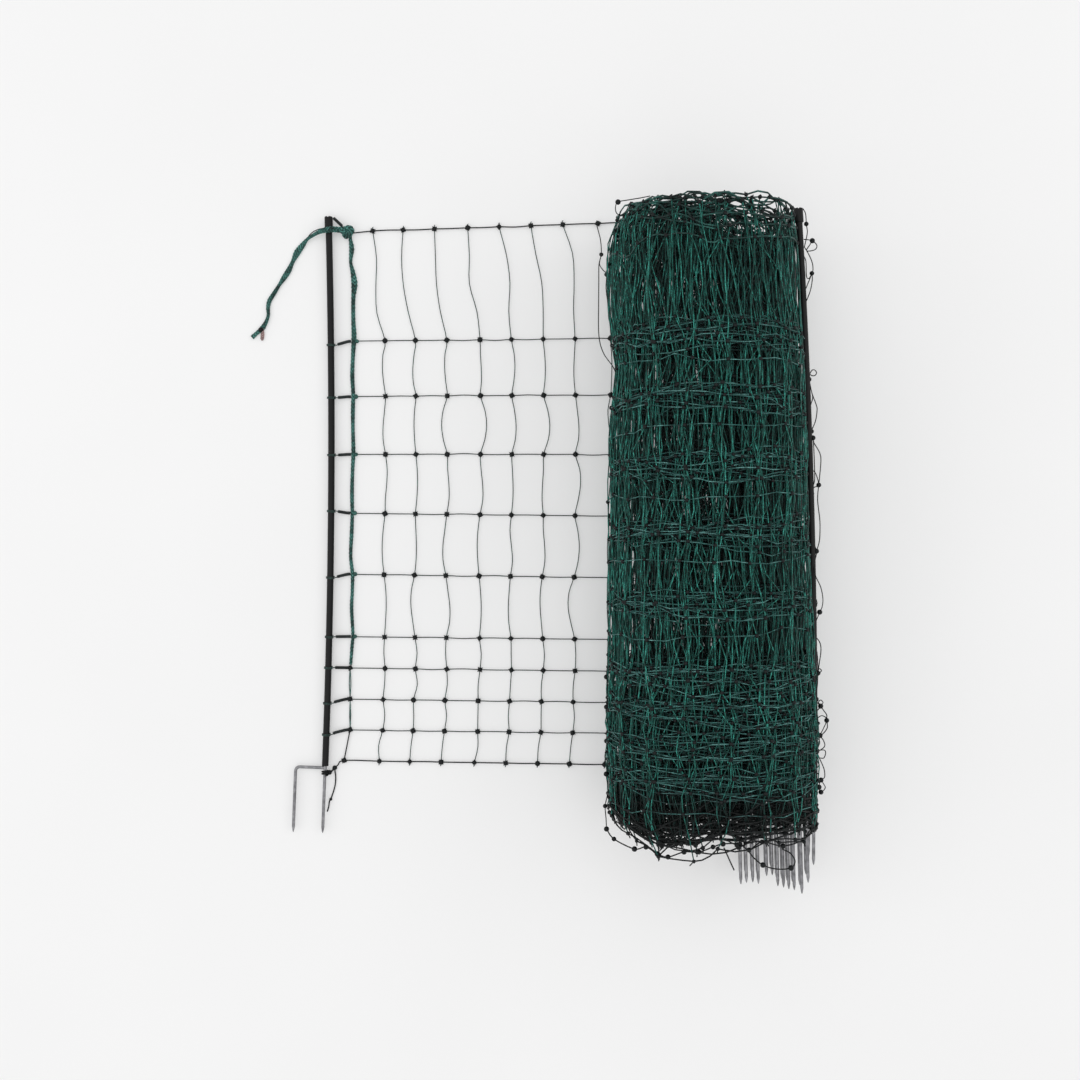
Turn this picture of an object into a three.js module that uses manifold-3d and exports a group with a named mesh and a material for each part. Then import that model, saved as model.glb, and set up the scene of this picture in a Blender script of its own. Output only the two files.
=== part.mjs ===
import * as THREE from "three";
import { mergeVertices } from "three/addons/utils/BufferGeometryUtils.js";
import Module from "manifold-3d";

// A roll of electric poultry netting, lying on the ground with its loose end spread out flat.
// Millimetres. x runs from the foot of the end post to the roll, y from the bottom line of the net
// to its top line, z up from the ground. The last lines centre the whole on its bounding box.

const wasm = await Module();
wasm.setup();

const CLEAR = 0.4; // between a piece and its neighbour
const THROUGH = 1; // how far a cut runs past the face in which it opens
const ACROSS = 50; // how much more a miss along a rod counts than one across it

// The net: eleven lines, a closer mesh toward the ground, upright strands at one pitch
const MESH = { firstStrand: 55, pitch: 68.3, strands: 9, strand: 1.25, line: 1.35, lie: 3.2 };
const KNOT = { reach: 4.9, tail: 8.5, thin: 0.6, edge: 0.8 };
const LONG_GAP = 180; // between two lines, above which more of the curve between them is followed

// height: above the bottom line; rise: what the line gains by the roll; step: sideways shift of its
// knots; drop: from the knot down to its wrap on the post; sway: bow of each strand below the line
const LINES = [
  { height: 1120, rise: 16, step: -26, drop: 0, sway: [-7, -12, -9, -7, 9, 9, 12, -14, 0] },
  { height: 890, rise: 5, step: 0, drop: 9, sway: [-6, -6, -5, 2, 7, 4, -3, 3, 0] },
  { height: 773, rise: 3, step: 1, drop: 3, sway: [-5, -4, -12, 13, 9, 13, 7, -4, 0] },
  { height: 651, rise: 0, step: 1, drop: 2, sway: [3, 4, 4, 5, 3, -2, 11, 4, 0] },
  { height: 527, rise: -5, step: 0, drop: -4, sway: [-5, 3, -7, -5, 1, 4, 10, -5, 0] },
  { height: 398, rise: -6, step: -2, drop: 7, sway: [4, -8, 8, 4, -5, -5, -13, 3, 0] },
  { height: 266, rise: -5, step: -1, drop: 0, sway: [-2, 4, -2, 3, 0, 3, 2, -2, 0] },
  { height: 200, rise: -6, step: 0, drop: -1, sway: [1, 6, 3, -2, 0, -2, -2, 2, 0] },
  { height: 134, rise: -6, step: -4, drop: 8, sway: [4, 1, 4, 0, -2, 0, 3, 1, 0] },
  { height: 69, rise: -6, step: -5, drop: 9, sway: [-5, -1, -1, 4, -2, -2, -1, 0, 0] },
  { height: 4, rise: -7, step: -12, drop: 0, sway: [] },
];
const PANEL_RUN = 478; // over which a line gains its rise
const LINE_END = 760; // x at which a line is well under the roll
const THIN_EDGE = 51.5; // x of the edge below the edge cord
const CORNER = 38.7; // x of the knot in the lower left corner
const FOOT_LINE = { x: 24, y: -7, drop: 2 }; // where the bottom line comes from the foot wrap

// Posts: a plastic rod with a steel spike of two prongs in its foot
const POST = { length: 1152, radius: 6.9, head: 28, headRadius: 8.7, socket: 40, bow: 37, sides: 14 };
const CAP = { skirt: 23, top: 5, round: 2, notch: 3, notchDepth: 4.4 };
const HEAD_SLOPE = Math.atan2(2 * POST.bow, POST.length); // of a bent post at its head
const SPIKE = { rod: 2.9, apart: 62, prong: 142, bend: 9, point: 12, tip: 0.12, shank: 38, under: 1 };
const END_POST = { x: 0, y: -6, z: 10.3, lean: -2.2 };
const SIDE_POST = { x: 995, y: -31, z: 173, lean: -0.3 };
const SIDE_SPIKE_TURN = -93; // its second prong hangs below the post
const NEST_LEAN = 1.5;
const NEST_SIDES = 8;
const NEST_ROOM = { round: 1.2, reach: 80 }; // about a spike, and down to beyond the roll's foot

// The spikes that come out of the roll's foot, by the lower of their two prongs. In every second
// post the second prong points down instead of up, so that the posts nest.
const NEST = [
  { x: 869.8, z: 28, tip: -234 },
  { x: 881.0, z: 28, tip: -231 },
  { x: 894.2, z: 28, tip: -230 },
  { x: 905.4, z: 28, tip: -233 },
  { x: 922.4, z: 28, tip: -217 },
  { x: 933.6, z: 29, tip: -215 },
  { x: 944.4, z: 34, tip: -236 },
  { x: 954.4, z: 41, tip: -237 },
  { x: 963.6, z: 50, tip: -238 },
  { x: 972.4, z: 60, tip: -237 },
  { x: 983.4, z: 82, tip: -238 },
  { x: 992.4, z: 97, tip: -212 },
];
const NEST_TILT = 8; // of the second prong off the vertical, toward the loose end

// The roll, by where its left side lies at half its height
const ROLL = { foot: -110, head: 1107, lead: -39, height: 355, flatDepth: 5, axis: 176, sides: 44 };
const ROUNDNESS = { plain: 2.4, nest: 4.4 }; // exponents of its outline
const SIDE_SHORT = 1; // from its right side to the middle of the side post
const LEFT_SIDE = [
  { y: -110, x: 600 },
  { y: -60, x: 586 },
  { y: 60, x: 583 },
  { y: 300, x: 586 },
  { y: 650, x: 588 },
  { y: 740, x: 592 },
  { y: 798, x: 600 },
  { y: 860, x: 593 },
  { y: 930, x: 584 },
  { y: 1050, x: 584 },
  { y: 1107, x: 603 },
];
const RIDGE = { height: 3, width: 17 };
const ROLL_END = { round: 9, shoulder: 30, clear: 45, end: 0.93, eased: 0.975, rings: [0.35, 0.62, 0.84] };
const HEAD_HOLLOW = { depth: 46, from: 780, full: 900, floor: 0.7, brim: 0.95 };

// Waves in the roll's outline: size as a share of its radius, waves round it, drift along it
const SWELL = [
  { size: 0.014, waves: 3, drift: 140, start: 0 },
  { size: 0.012, waves: 2, drift: -90, start: 1 },
  { size: 0.008, waves: 5, drift: 55, start: 0 },
];

// Where each tie lies. A route is a list of points along its middle.
const EDGE_CORD = { x: 55.7, top: 1111, foot: 206, width: 4.7, thick: 2.9, narrow: 0.74 };
const EDGE_WAVE = { swing: 1.8, length: 47 };
const TIE_KNOT = { x: 45.5, y: 1123.5, z: 10.4, wide: 14, tall: 12.5, deep: 9.6, under: 9.8, groove: 0.1 };
const TIE = { width: 5.6, thick: 2.2, strand: 0.7 };
const TIE_ROUTE = [
  [33.2, 1122.6, 14.6],
  [22, 1122.6, 20],
  [12, 1122, 22],
  [-1, 1120, 21.6],
  [-14, 1116.6, 17],
  [-27, 1111.4, 10.2],
  [-39, 1104.6, 5.2],
  [-50, 1092, 2.9],
  [-61, 1077, 2.6],
  [-70, 1058, 2.6],
  [-78.5, 1040, 2.6],
  [-88, 1025, 2.6],
  [-98, 1009.5, 2.6],
  [-109, 992, 2.6],
  [-119, 976, 2.6],
  [-122, 961, 2.6],
  [-121.6, 945.5, 2.6],
  [-126, 931.5, 2.6],
  [-134.6, 917.5, 2.6],
  [-145, 908, 2.6],
  [-155.8, 898.2, 2.6],
];
const STRAND_ROUTE = [
  [-129.7, 909.7, 2.6],
  [-131, 899.5, 2.3],
  [-136, 890, 2.3],
];
const WRAP = { radius: 1.1, sleeve: 2.5, sides: 10 };
const HEAD_SLEEVE = [
  [18, 1148.6, 11],
  [26, 1141, 12],
  [35.9, 1131.7, 11.4],
];

// The sleeve of a line's tie. along: from the post in the first three rows, from the sleeve's end in
// the others; fall: share of the way from the wrap to the line; size: share of full thickness
const SLEEVE = [
  { along: 0, fall: 0, z: END_POST.z, size: 0.5 },
  { along: 4, fall: 0, z: END_POST.z, size: 0.6 },
  { along: 8, fall: 0.25, z: 8.2, size: 1 },
  { along: -8, fall: 0.9, z: 4.4, size: 1 },
  { along: 0, fall: 1, z: 3.6, size: 1 },
];

// The wrap at the foot: two turns about the neck of the spike, a hitch, a link and a knot
const FOOT_WRAP = { x: -0.4, y: -18, cord: 1.5, apart: 5, link: 1.8 };
const FOOT_LUMPS = [
  { radius: 4.4, tall: 1.15, deep: 0.8, place: [8.6, -20.5, 7.4] },
  { radius: 4.6, tall: 1.1, deep: 0.75, place: [19.2, -11.4, 4] },
];
const FOOT_LINK = [
  [8, -21, 7],
  [13, -18, 5.6],
  [19, -12, 4],
];
const FOOT_TAIL = { radius: 1.4, knotAt: 5, knot: 1.9, above: 0.1 };
const TAIL_ROUTE = [
  [19.4, -16.9, 3.6],
  [20.8, -31, 2.2],
  [20, -46, 1.7],
  [17, -59, 1.7],
  [13, -71, 1.7],
  [10.6, -78, 1.7],
  [7.6, -82.6, 1.7],
  [6, -94, 1.7],
  [3, -104.6, 1.7],
];

const BLACK = { color: 0x1c1c1e, roughness: 0.45, metalness: 0 };
const STEEL = { color: 0x8f9194, roughness: 0.42, metalness: 0.9 };
const NET_GREEN = { color: 0x0f5a48, roughness: 0.6, metalness: 0 };
const CORD_GREEN = { color: 0x1f6a5c, roughness: 0.7, metalness: 0 };
const CORD_CORE = { color: 0x8c7c78, roughness: 0.8, metalness: 0 };

// A piecewise straight path through its own stations, with the cross-section kept level
class Route extends THREE.Curve {
  constructor(stations) {
    super();
    this.stations = stations;
  }

  getPoint(t) {
    const last = this.stations.length - 1;
    const i = Math.min(Math.floor(t * last), last - 1);
    return this.stations[i].clone().lerp(this.stations[i + 1], t * last - i);
  }

  getSpacedPoints() {
    return this.stations.map((station) => station.clone());
  }

  computeFrenetFrames() {
    const tangents = this.stations.map((_, i, all) => {
      const before = all[Math.max(i - 1, 0)];
      const after = all[Math.min(i + 1, all.length - 1)];
      return after.clone().sub(before).normalize();
    });
    const up = Math.abs(tangents[0].z) > 0.9 ? new THREE.Vector3(0, 1, 0) : new THREE.Vector3(0, 0, 1);
    const normals = tangents.map((tangent) => tangent.clone().cross(up).normalize());
    const binormals = tangents.map((tangent, i) => tangent.clone().cross(normals[i]));
    return { tangents, normals, binormals };
  }
}

function ring(width, thick, sides) {
  const points = [];
  for (let i = 0; i < sides; i += 1) {
    const angle = (2 * Math.PI * i) / sides;
    points.push(new THREE.Vector2(width * Math.cos(angle), thick * Math.sin(angle)));
  }
  return new THREE.Shape(points);
}

// A rod of the given section along the stations; swell gives the section's scale at each of them.
// Each of its points belongs to the station in whose cross-section it lies.
function rod(stations, section, swell = () => 1) {
  const route = new Route(stations);
  const steps = stations.length - 1;
  const geometry = new THREE.ExtrudeGeometry(section, { steps, extrudePath: route });
  const tangents = route.computeFrenetFrames().tangents;
  const place = geometry.getAttribute("position");
  const point = new THREE.Vector3();
  for (let i = 0; i < place.count; i += 1) {
    point.fromBufferAttribute(place, i);
    let nearest = 0;
    let least = Infinity;
    stations.forEach((station, s) => {
      const offset = point.clone().sub(station);
      const miss = Math.abs(offset.dot(tangents[s])) * ACROSS + offset.length();
      if (miss < least) {
        least = miss;
        nearest = s;
      }
    });
    point.sub(stations[nearest]).multiplyScalar(swell(nearest)).add(stations[nearest]);
    place.setXYZ(i, point.x, point.y, point.z);
  }
  return geometry;
}

function solid(geometry) {
  const bare = new THREE.BufferGeometry();
  bare.setAttribute("position", geometry.getAttribute("position").clone());
  if (geometry.index) bare.setIndex(geometry.index.clone());
  const merged = mergeVertices(bare, 1e-3);
  const vertProperties = merged.getAttribute("position").array;
  const triVerts = new Uint32Array(merged.index.array);
  return new wasm.Manifold(new wasm.Mesh({ numProp: 3, vertProperties, triVerts }));
}

function shape(body) {
  const { vertProperties, triVerts } = body.getMesh();
  const geometry = new THREE.BufferGeometry();
  geometry.setAttribute("position", new THREE.BufferAttribute(new Float32Array(vertProperties), 3));
  geometry.setIndex(new THREE.BufferAttribute(new Uint32Array(triVerts), 1));
  geometry.computeVertexNormals();
  return geometry;
}

function joined(geometries) {
  return geometries.map(solid).reduce((all, next) => all.add(next));
}

function piece(name, geometry, finish) {
  const mesh = new THREE.Mesh(geometry, new THREE.MeshStandardMaterial(finish));
  mesh.name = name;
  return mesh;
}

const at = (x, y, z) => new THREE.Vector3(x, y, z);
const routed = (points) => points.map((point) => at(...point));
const radians = THREE.MathUtils.degToRad;

// Value at y of a table with rows { y, x }, joined by smooth steps
function along(table, y) {
  const next = table.findIndex((row) => row.y >= y);
  if (next <= 0) return next === 0 ? table[0].x : table[table.length - 1].x;
  const low = table[next - 1];
  const high = table[next];
  return THREE.MathUtils.lerp(low.x, high.x, THREE.MathUtils.smoothstep(y, low.y, high.y));
}

// Posts

// A point on the middle of a post that stands on its foot and bends toward -x
function postLine(up) {
  const t = up / POST.length;
  return at(-POST.bow * t * t, up, 0);
}

function postRod(radius) {
  const steps = 8;
  const stations = [];
  for (let i = 0; i <= steps; i += 1) stations.push(postLine((POST.length * i) / steps));
  return rod(stations, ring(radius, radius, POST.sides));
}

function hole(radius, from, to, sides) {
  const profile = [
    [0, from],
    [radius, from],
    [radius, to],
    [0, to],
  ];
  return new THREE.LatheGeometry(profile.map(([r, y]) => new THREE.Vector2(r, y)), sides);
}

// The bent rod of a post that shows, its foot bored for the spike
function shownPost() {
  const body = solid(postRod(POST.radius));
  return shape(body.subtract(solid(hole(SPIKE.rod + CLEAR, -THROUGH, POST.socket, POST.sides))));
}

// A post inside the roll: one straight rod with its head on it
function nestedPost(grow) {
  const radius = POST.radius + grow;
  const headRadius = POST.headRadius + grow;
  const neck = POST.length - POST.head - grow;
  const profile = [
    [0, -grow],
    [radius, -grow],
    [radius, neck],
    [headRadius, neck],
    [headRadius, POST.length + grow],
    [0, POST.length + grow],
  ];
  return new THREE.LatheGeometry(profile.map(([r, y]) => new THREE.Vector2(r, y)), NEST_SIDES);
}

function boredPost() {
  const bore = hole(SPIKE.rod + CLEAR, -THROUGH, POST.socket, NEST_SIDES);
  return shape(solid(nestedPost(0)).subtract(solid(bore)));
}

// Cap over the head of a post, notched across its top for the line
function cap(inner) {
  const rim = POST.headRadius;
  const profile = [
    [inner, -CAP.skirt],
    [rim, -CAP.skirt],
    [rim, CAP.top - CAP.round],
    [rim - CAP.round, CAP.top],
    [0, CAP.top],
    [0, CLEAR],
    [inner, CLEAR],
    [inner, -CAP.skirt],
  ];
  const outline = profile.map(([r, y]) => new THREE.Vector2(r, y));
  const body = solid(new THREE.LatheGeometry(outline, POST.sides));
  const notch = new THREE.BoxGeometry(CAP.notch, CAP.notchDepth, 4 * rim).translate(0, CAP.top, 0);
  return shape(body.subtract(solid(notch)));
}

// The spike: a straight prong with its shank in the post, and a second prong on a cross bar
function spike(sides, bends) {
  const tip = -SPIKE.prong;
  const level = -SPIKE.rod - SPIKE.under;
  const point = (s, last) => (s === last ? SPIKE.tip : 1);
  const straight = [at(0, SPIKE.shank, 0), at(0, tip + SPIKE.point, 0), at(0, tip, 0)];
  const bar = [at(0, level, 0)];
  const corner = at(-SPIKE.apart + SPIKE.bend, level - SPIKE.bend, 0);
  for (let i = 0; i <= bends; i += 1) {
    const turn = (Math.PI / 2) * (1 + i / bends);
    bar.push(at(corner.x + SPIKE.bend * Math.cos(turn), corner.y + SPIKE.bend * Math.sin(turn), 0));
  }
  bar.push(at(-SPIKE.apart, tip + SPIKE.point, 0), at(-SPIKE.apart, tip, 0));
  const section = ring(SPIKE.rod, SPIKE.rod, sides);
  return shape(
    joined([
      rod(straight, section, (s) => point(s, straight.length - 1)),
      rod(bar, section, (s) => point(s, bar.length - 1)),
    ]),
  );
}

function shownPostGroup(name, place, spikeTurn) {
  const group = new THREE.Group();
  group.position.set(place.x, place.y, place.z);
  group.rotation.z = radians(place.lean);
  group.add(piece(name + "_post", shownPost(), BLACK));
  const lid = piece(name + "_post_cap", cap(POST.radius + CLEAR), BLACK);
  lid.position.copy(postLine(POST.length));
  lid.rotation.z = HEAD_SLOPE;
  group.add(lid);
  const prongs = piece(name + "_spike", spike(8, 4), STEEL);
  prongs.rotation.y = radians(spikeTurn);
  group.add(prongs);
  return group;
}

// The roll

// A point of the roll's outline at y, that much outside it. The outline is a rounded rectangle,
// fuller where the posts nest, and its waves fade at the left and right sides.
function section(y, angle, grow) {
  const left = along(LEFT_SIDE, y);
  const right = sidePostX(y) - SIDE_SHORT;
  const half = (right - left) / 2 + grow;
  const low = Math.sin(angle) < 0;
  const nestSide = low && Math.cos(angle) > 0;
  const full = nestSide ? ROUNDNESS.nest : ROUNDNESS.plain;
  const cos = Math.sign(Math.cos(angle)) * Math.abs(Math.cos(angle)) ** (2 / full);
  const sin = Math.sign(Math.sin(angle)) * Math.abs(Math.sin(angle)) ** (2 / full);
  const swell = SWELL.reduce((total, wave) => {
    return total + wave.size * Math.sin(wave.waves * angle + y / wave.drift + wave.start);
  }, 1);
  const rise = low ? ROLL.axis + ROLL.flatDepth : ROLL.height - ROLL.axis;
  const sideways = Math.abs(Math.cos(angle)) ** 4;
  const evened = nestSide ? 1 : THREE.MathUtils.lerp(swell, 1, sideways);
  return {
    x: (left + right) / 2 + half * cos * evened,
    z: ROLL.axis + (rise + grow) * sin * swell,
  };
}

function sidePostX(y) {
  const up = THREE.MathUtils.clamp(y - SIDE_POST.y, -SPIKE.prong, POST.length);
  const bow = up > 0 ? POST.bow * (up / POST.length) ** 2 : 0;
  return SIDE_POST.x - up * Math.tan(radians(SIDE_POST.lean)) - bow;
}

// How far the ridge of the nearest line stands out of the roll at y
function ridge(y) {
  return LINES.reduce((most, line) => {
    const away = (y - line.height - ROLL.lead) / RIDGE.width;
    return Math.max(most, RIDGE.height * Math.exp(-away * away));
  }, 0);
}

// The head is hollowed by the side post, where the turns are loose
function headHollow(x, share) {
  const near = THREE.MathUtils.smoothstep(x, HEAD_HOLLOW.from, HEAD_HOLLOW.full);
  const inside = 1 - THREE.MathUtils.smoothstep(share, HEAD_HOLLOW.floor, HEAD_HOLLOW.brim);
  return HEAD_HOLLOW.depth * near * inside;
}

// The whole roll, grown by that much and cut flat at the ground
function rollForm(grow, ground) {
  const stations = [ROLL.foot, ROLL.foot + ROLL_END.round, ROLL.foot + ROLL_END.shoulder];
  LINES.slice().reverse().forEach((line, i, all) => {
    const y = line.height + ROLL.lead;
    if (y > ROLL.foot + ROLL_END.clear && y < ROLL.head - ROLL_END.clear) stations.push(y);
    const gap = i + 1 < all.length ? all[i + 1].height - line.height : 0;
    const parts = gap > LONG_GAP ? 4 : 2;
    for (let p = 1; p < parts; p += 1) stations.push(y + (gap * p) / parts);
  });
  stations.push(ROLL.head - ROLL_END.shoulder, ROLL.head - ROLL_END.round, ROLL.head);
  const shrink = new Map([
    [ROLL.foot, ROLL_END.end],
    [ROLL.foot + ROLL_END.round, ROLL_END.eased],
    [ROLL.head - ROLL_END.round, ROLL_END.eased],
    [ROLL.head, ROLL_END.end],
  ]);
  const profile = [[0, ROLL.foot]];
  ROLL_END.rings.forEach((share) => profile.push([share, ROLL.foot]));
  stations.forEach((y) => profile.push([1, y]));
  ROLL_END.rings.slice().reverse().forEach((share) => profile.push([share, ROLL.head]));
  profile.push([0, ROLL.head]);
  const outline = profile.map(([r, y]) => new THREE.Vector2(r, y));
  const geometry = new THREE.LatheGeometry(outline, ROLL.sides);
  const place = geometry.getAttribute("position");
  for (let i = 0; i < place.count; i += 1) {
    const share = Math.hypot(place.getX(i), place.getZ(i));
    const y = place.getY(i);
    const angle = Math.atan2(place.getZ(i), place.getX(i));
    const edge = section(y, angle, grow + ridge(y));
    const size = share * (shrink.get(y) ?? 1);
    const middle = (along(LEFT_SIDE, y) + sidePostX(y)) / 2;
    const x = middle + (edge.x - middle) * size;
    const z = Math.max(ROLL.axis + (edge.z - ROLL.axis) * size, ground);
    let endY = y;
    if (y === ROLL.head) endY += grow - headHollow(x, share);
    if (y === ROLL.foot) endY -= grow;
    place.setXYZ(i, x, endY, z);
  }
  return solid(geometry);
}

// Where a post of the nest lies: a leaning group, and in it one for the post and its spike, turned
// so that the second prong is above the post or, where flipped, below it
function nestFrame(row, flipped) {
  const group = new THREE.Group();
  group.position.set(row.x, row.tip + SPIKE.prong, row.z);
  group.rotation.z = radians(NEST_LEAN);
  const hand = new THREE.Group();
  hand.rotation.y = radians(flipped ? -90 - NEST_TILT : 90 - NEST_TILT);
  if (flipped) {
    const lean = radians(NEST_TILT);
    hand.position.set(-SPIKE.apart * Math.sin(lean), 0, SPIKE.apart * Math.cos(lean));
  }
  group.add(hand);
  group.updateMatrixWorld(true);
  return { group, hand };
}

// The loose end of the net

function strandX(k, line) {
  return MESH.firstStrand + MESH.pitch * k + line.step;
}

function lineY(line, x) {
  return line.height + (line.rise * x) / PANEL_RUN;
}

const lying = (x, y) => at(x, y, MESH.lie);

function uprights() {
  const bodies = [];
  const triangle = ring(MESH.strand, MESH.strand, 3);
  for (let k = 1; k <= MESH.strands; k += 1) {
    const stations = [];
    const sizes = [];
    LINES.forEach((line, i) => {
      const x = strandX(k, line);
      const y = lineY(line, x);
      const last = i === LINES.length - 1;
      const above = i === 0 ? KNOT.tail : KNOT.reach;
      const under = last ? KNOT.tail : KNOT.reach;
      stations.push(lying(x, y + above), lying(x, y), lying(x, y - under));
      sizes.push(i === 0 ? KNOT.thin : 1, KNOT.reach / MESH.strand, last ? KNOT.thin : 1);
      if (last) return;
      const below = LINES[i + 1];
      const toX = strandX(k, below);
      const toY = lineY(below, toX);
      const parts = y - toY > LONG_GAP ? 4 : 2;
      for (let p = 1; p < parts; p += 1) {
        const t = p / parts;
        const bow = line.sway[k - 1] * Math.sin(Math.PI * t);
        stations.push(lying(x + (toX - x) * t + bow, y + (toY - y) * t));
        sizes.push(1);
      }
    });
    bodies.push(rod(stations, triangle, (s) => sizes[s]));
  }
  return bodies;
}

function lines() {
  const triangle = ring(MESH.line, MESH.line, 3);
  return LINES.map((line, i) => {
    const start = i === 0 ? TIE_KNOT.x + TIE_KNOT.under : lineStart(line);
    const stations = [];
    const sizes = [];
    const knotSize = KNOT.reach / MESH.line;
    if (i === LINES.length - 1) {
      stations.push(lying(FOOT_LINE.x, FOOT_LINE.y));
      stations.push(lying(CORNER - KNOT.reach, line.height - FOOT_LINE.drop));
      stations.push(lying(CORNER, line.height), lying(CORNER + KNOT.reach, line.height));
      sizes.push(1, 1, knotSize, 1);
    } else if (i > 0) {
      stations.push(lying(start, line.height), lying(start + KNOT.reach, line.height));
      stations.push(lying(start + 2 * KNOT.reach, line.height));
      sizes.push(1, KNOT.edge * knotSize, 1);
    } else {
      stations.push(lying(start, line.height));
      sizes.push(1);
    }
    for (let k = 1; k <= MESH.strands; k += 1) {
      const x = strandX(k, line);
      stations.push(lying(x, lineY(line, x)));
      sizes.push(1);
    }
    stations.push(lying(LINE_END, lineY(line, LINE_END)));
    sizes.push(1);
    return rod(stations, triangle, (s) => sizes[s]);
  });
}

// Below the edge cord a thin strand of its own goes down the edge to the corner of the net
function edgeStrand() {
  const low = LINES.filter((line) => line.height < EDGE_CORD.foot);
  const stops = low.map((line) => lying(THIN_EDGE, line.height));
  stops[stops.length - 1].x = CORNER;
  return rod(stops, ring(MESH.strand, MESH.strand, 3));
}

// Where a line starts: right of the edge cord, or in a knot on the thin strand below it
function lineStart(line) {
  if (line.height < EDGE_CORD.foot) return THIN_EDGE - KNOT.reach;
  return edgeX(line.height) + EDGE_CORD.width * edgeShare(line.height) + CLEAR;
}

function edgeX(y) {
  return EDGE_CORD.x + EDGE_WAVE.swing * Math.sin(y / EDGE_WAVE.length);
}

// The knots pressed flat, between the ground and twice the height at which the net lies
function flattened(geometry) {
  const place = geometry.getAttribute("position");
  for (let i = 0; i < place.count; i += 1) {
    place.setZ(i, THREE.MathUtils.clamp(place.getZ(i), 0, 2 * MESH.lie));
  }
  return geometry;
}

// The net up to the roll, whose form is carried below the ground for the cut
function looseEnd() {
  const all = [...uprights(), ...lines(), edgeStrand()].map(flattened);
  return shape(joined(all).subtract(rollForm(CLEAR, -ROLL.flatDepth)));
}

// Ties

// A cord wound round a rod of that radius, its flats clear of the rod
function collar(radius, cord) {
  const inner = (radius + CLEAR) / Math.cos(Math.PI / WRAP.sides);
  return new THREE.TorusGeometry(inner + cord, cord, 4, WRAP.sides).rotateX(Math.PI / 2);
}

// The wrap of a line round the end post, with the black sleeve that reaches the edge of the net
function lineTie(line) {
  const wrapY = line.height - line.drop;
  const post = postAt(wrapY);
  const turns = collar(POST.radius, WRAP.radius).translate(post.x, wrapY, post.z);
  const cordSide = edgeX(line.height) - EDGE_CORD.width * edgeShare(line.height);
  const end = (line.height < EDGE_CORD.foot ? lineStart(line) : cordSide) - CLEAR;
  const root = post.x + POST.radius + CLEAR;
  const sleeve = SLEEVE.map(({ along, fall, z }, i) => {
    return at(along + (i < 3 ? root : end), wrapY + line.drop * fall, z);
  });
  const section = ring(WRAP.sleeve, WRAP.sleeve, 6);
  return shape(joined([turns, rod(sleeve, section, (s) => SLEEVE[s].size)]));
}

// A point on the middle of the end post at height y of the net
function postAt(y) {
  const lean = radians(END_POST.lean);
  const up = (y - END_POST.y) / Math.cos(lean);
  return at(END_POST.x + postLine(up).x - up * Math.sin(lean), y, END_POST.z);
}

function headSleeve() {
  return rod(routed(HEAD_SLEEVE), ring(WRAP.sleeve, WRAP.sleeve, 8));
}

function edgeShare(y) {
  const t = THREE.MathUtils.clamp((EDGE_CORD.top - y) / (EDGE_CORD.top - EDGE_CORD.foot), 0, 1);
  return THREE.MathUtils.lerp(1, EDGE_CORD.narrow, t);
}

function edgeCord() {
  const stations = [];
  const steps = 26;
  for (let i = 0; i <= steps; i += 1) {
    const y = THREE.MathUtils.lerp(EDGE_CORD.top, EDGE_CORD.foot, i / steps);
    stations.push(at(edgeX(y), y, EDGE_CORD.thick + CLEAR));
  }
  return rod(stations, ring(EDGE_CORD.width, EDGE_CORD.thick, 8), (s) => edgeShare(stations[s].y));
}

// A lump grooved between the turns of the cord
function tieKnot() {
  const geometry = new THREE.SphereGeometry(1, 14, 10);
  const place = geometry.getAttribute("position");
  for (let i = 0; i < place.count; i += 1) {
    const [x, y, z] = [place.getX(i), place.getY(i), place.getZ(i)];
    const turn = 1 - TIE_KNOT.groove * Math.abs(Math.sin(3 * (x + 0.6 * y) + 0.8 * z));
    place.setXYZ(i, x * TIE_KNOT.wide * turn, y * TIE_KNOT.tall * turn, z * TIE_KNOT.deep * turn);
  }
  return geometry.translate(TIE_KNOT.x, TIE_KNOT.y, TIE_KNOT.z);
}

function tieEnd(points, size) {
  return rod(routed(points), ring(TIE.width * size, TIE.thick, 8));
}

// The bottom line ends in a knot and two turns round the neck of the spike
function footWrap() {
  const turns = [0, 1].map((i) => {
    const y = FOOT_WRAP.y - FOOT_WRAP.apart * i;
    return collar(SPIKE.rod, FOOT_WRAP.cord).translate(FOOT_WRAP.x, y, END_POST.z);
  });
  const lumps = FOOT_LUMPS.map(({ radius, tall, deep, place }) => {
    return new THREE.SphereGeometry(radius, 8, 6).scale(1, tall, deep).translate(...place);
  });
  const link = rod(routed(FOOT_LINK), ring(FOOT_WRAP.link, FOOT_WRAP.link, 4));
  return shape(joined([...turns, ...lumps, link]));
}

function footTail() {
  const section = ring(FOOT_TAIL.radius, FOOT_TAIL.radius, 8);
  const swell = (s) => (s === FOOT_TAIL.knotAt ? FOOT_TAIL.knot : 1);
  const geometry = rod(routed(TAIL_ROUTE), section, swell);
  const place = geometry.getAttribute("position");
  for (let i = 0; i < place.count; i += 1) place.setZ(i, Math.max(place.getZ(i), FOOT_TAIL.above));
  return geometry;
}

// Room round the spike of a post, from its cross bar out through the foot of the roll
function spikeRoom() {
  const round = SPIKE.rod + NEST_ROOM.round;
  const room = new THREE.BoxGeometry(SPIKE.apart + 2 * round, NEST_ROOM.reach, 2 * round);
  return solid(room.translate(-SPIKE.apart / 2, CLEAR - NEST_ROOM.reach / 2, 0));
}

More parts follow.
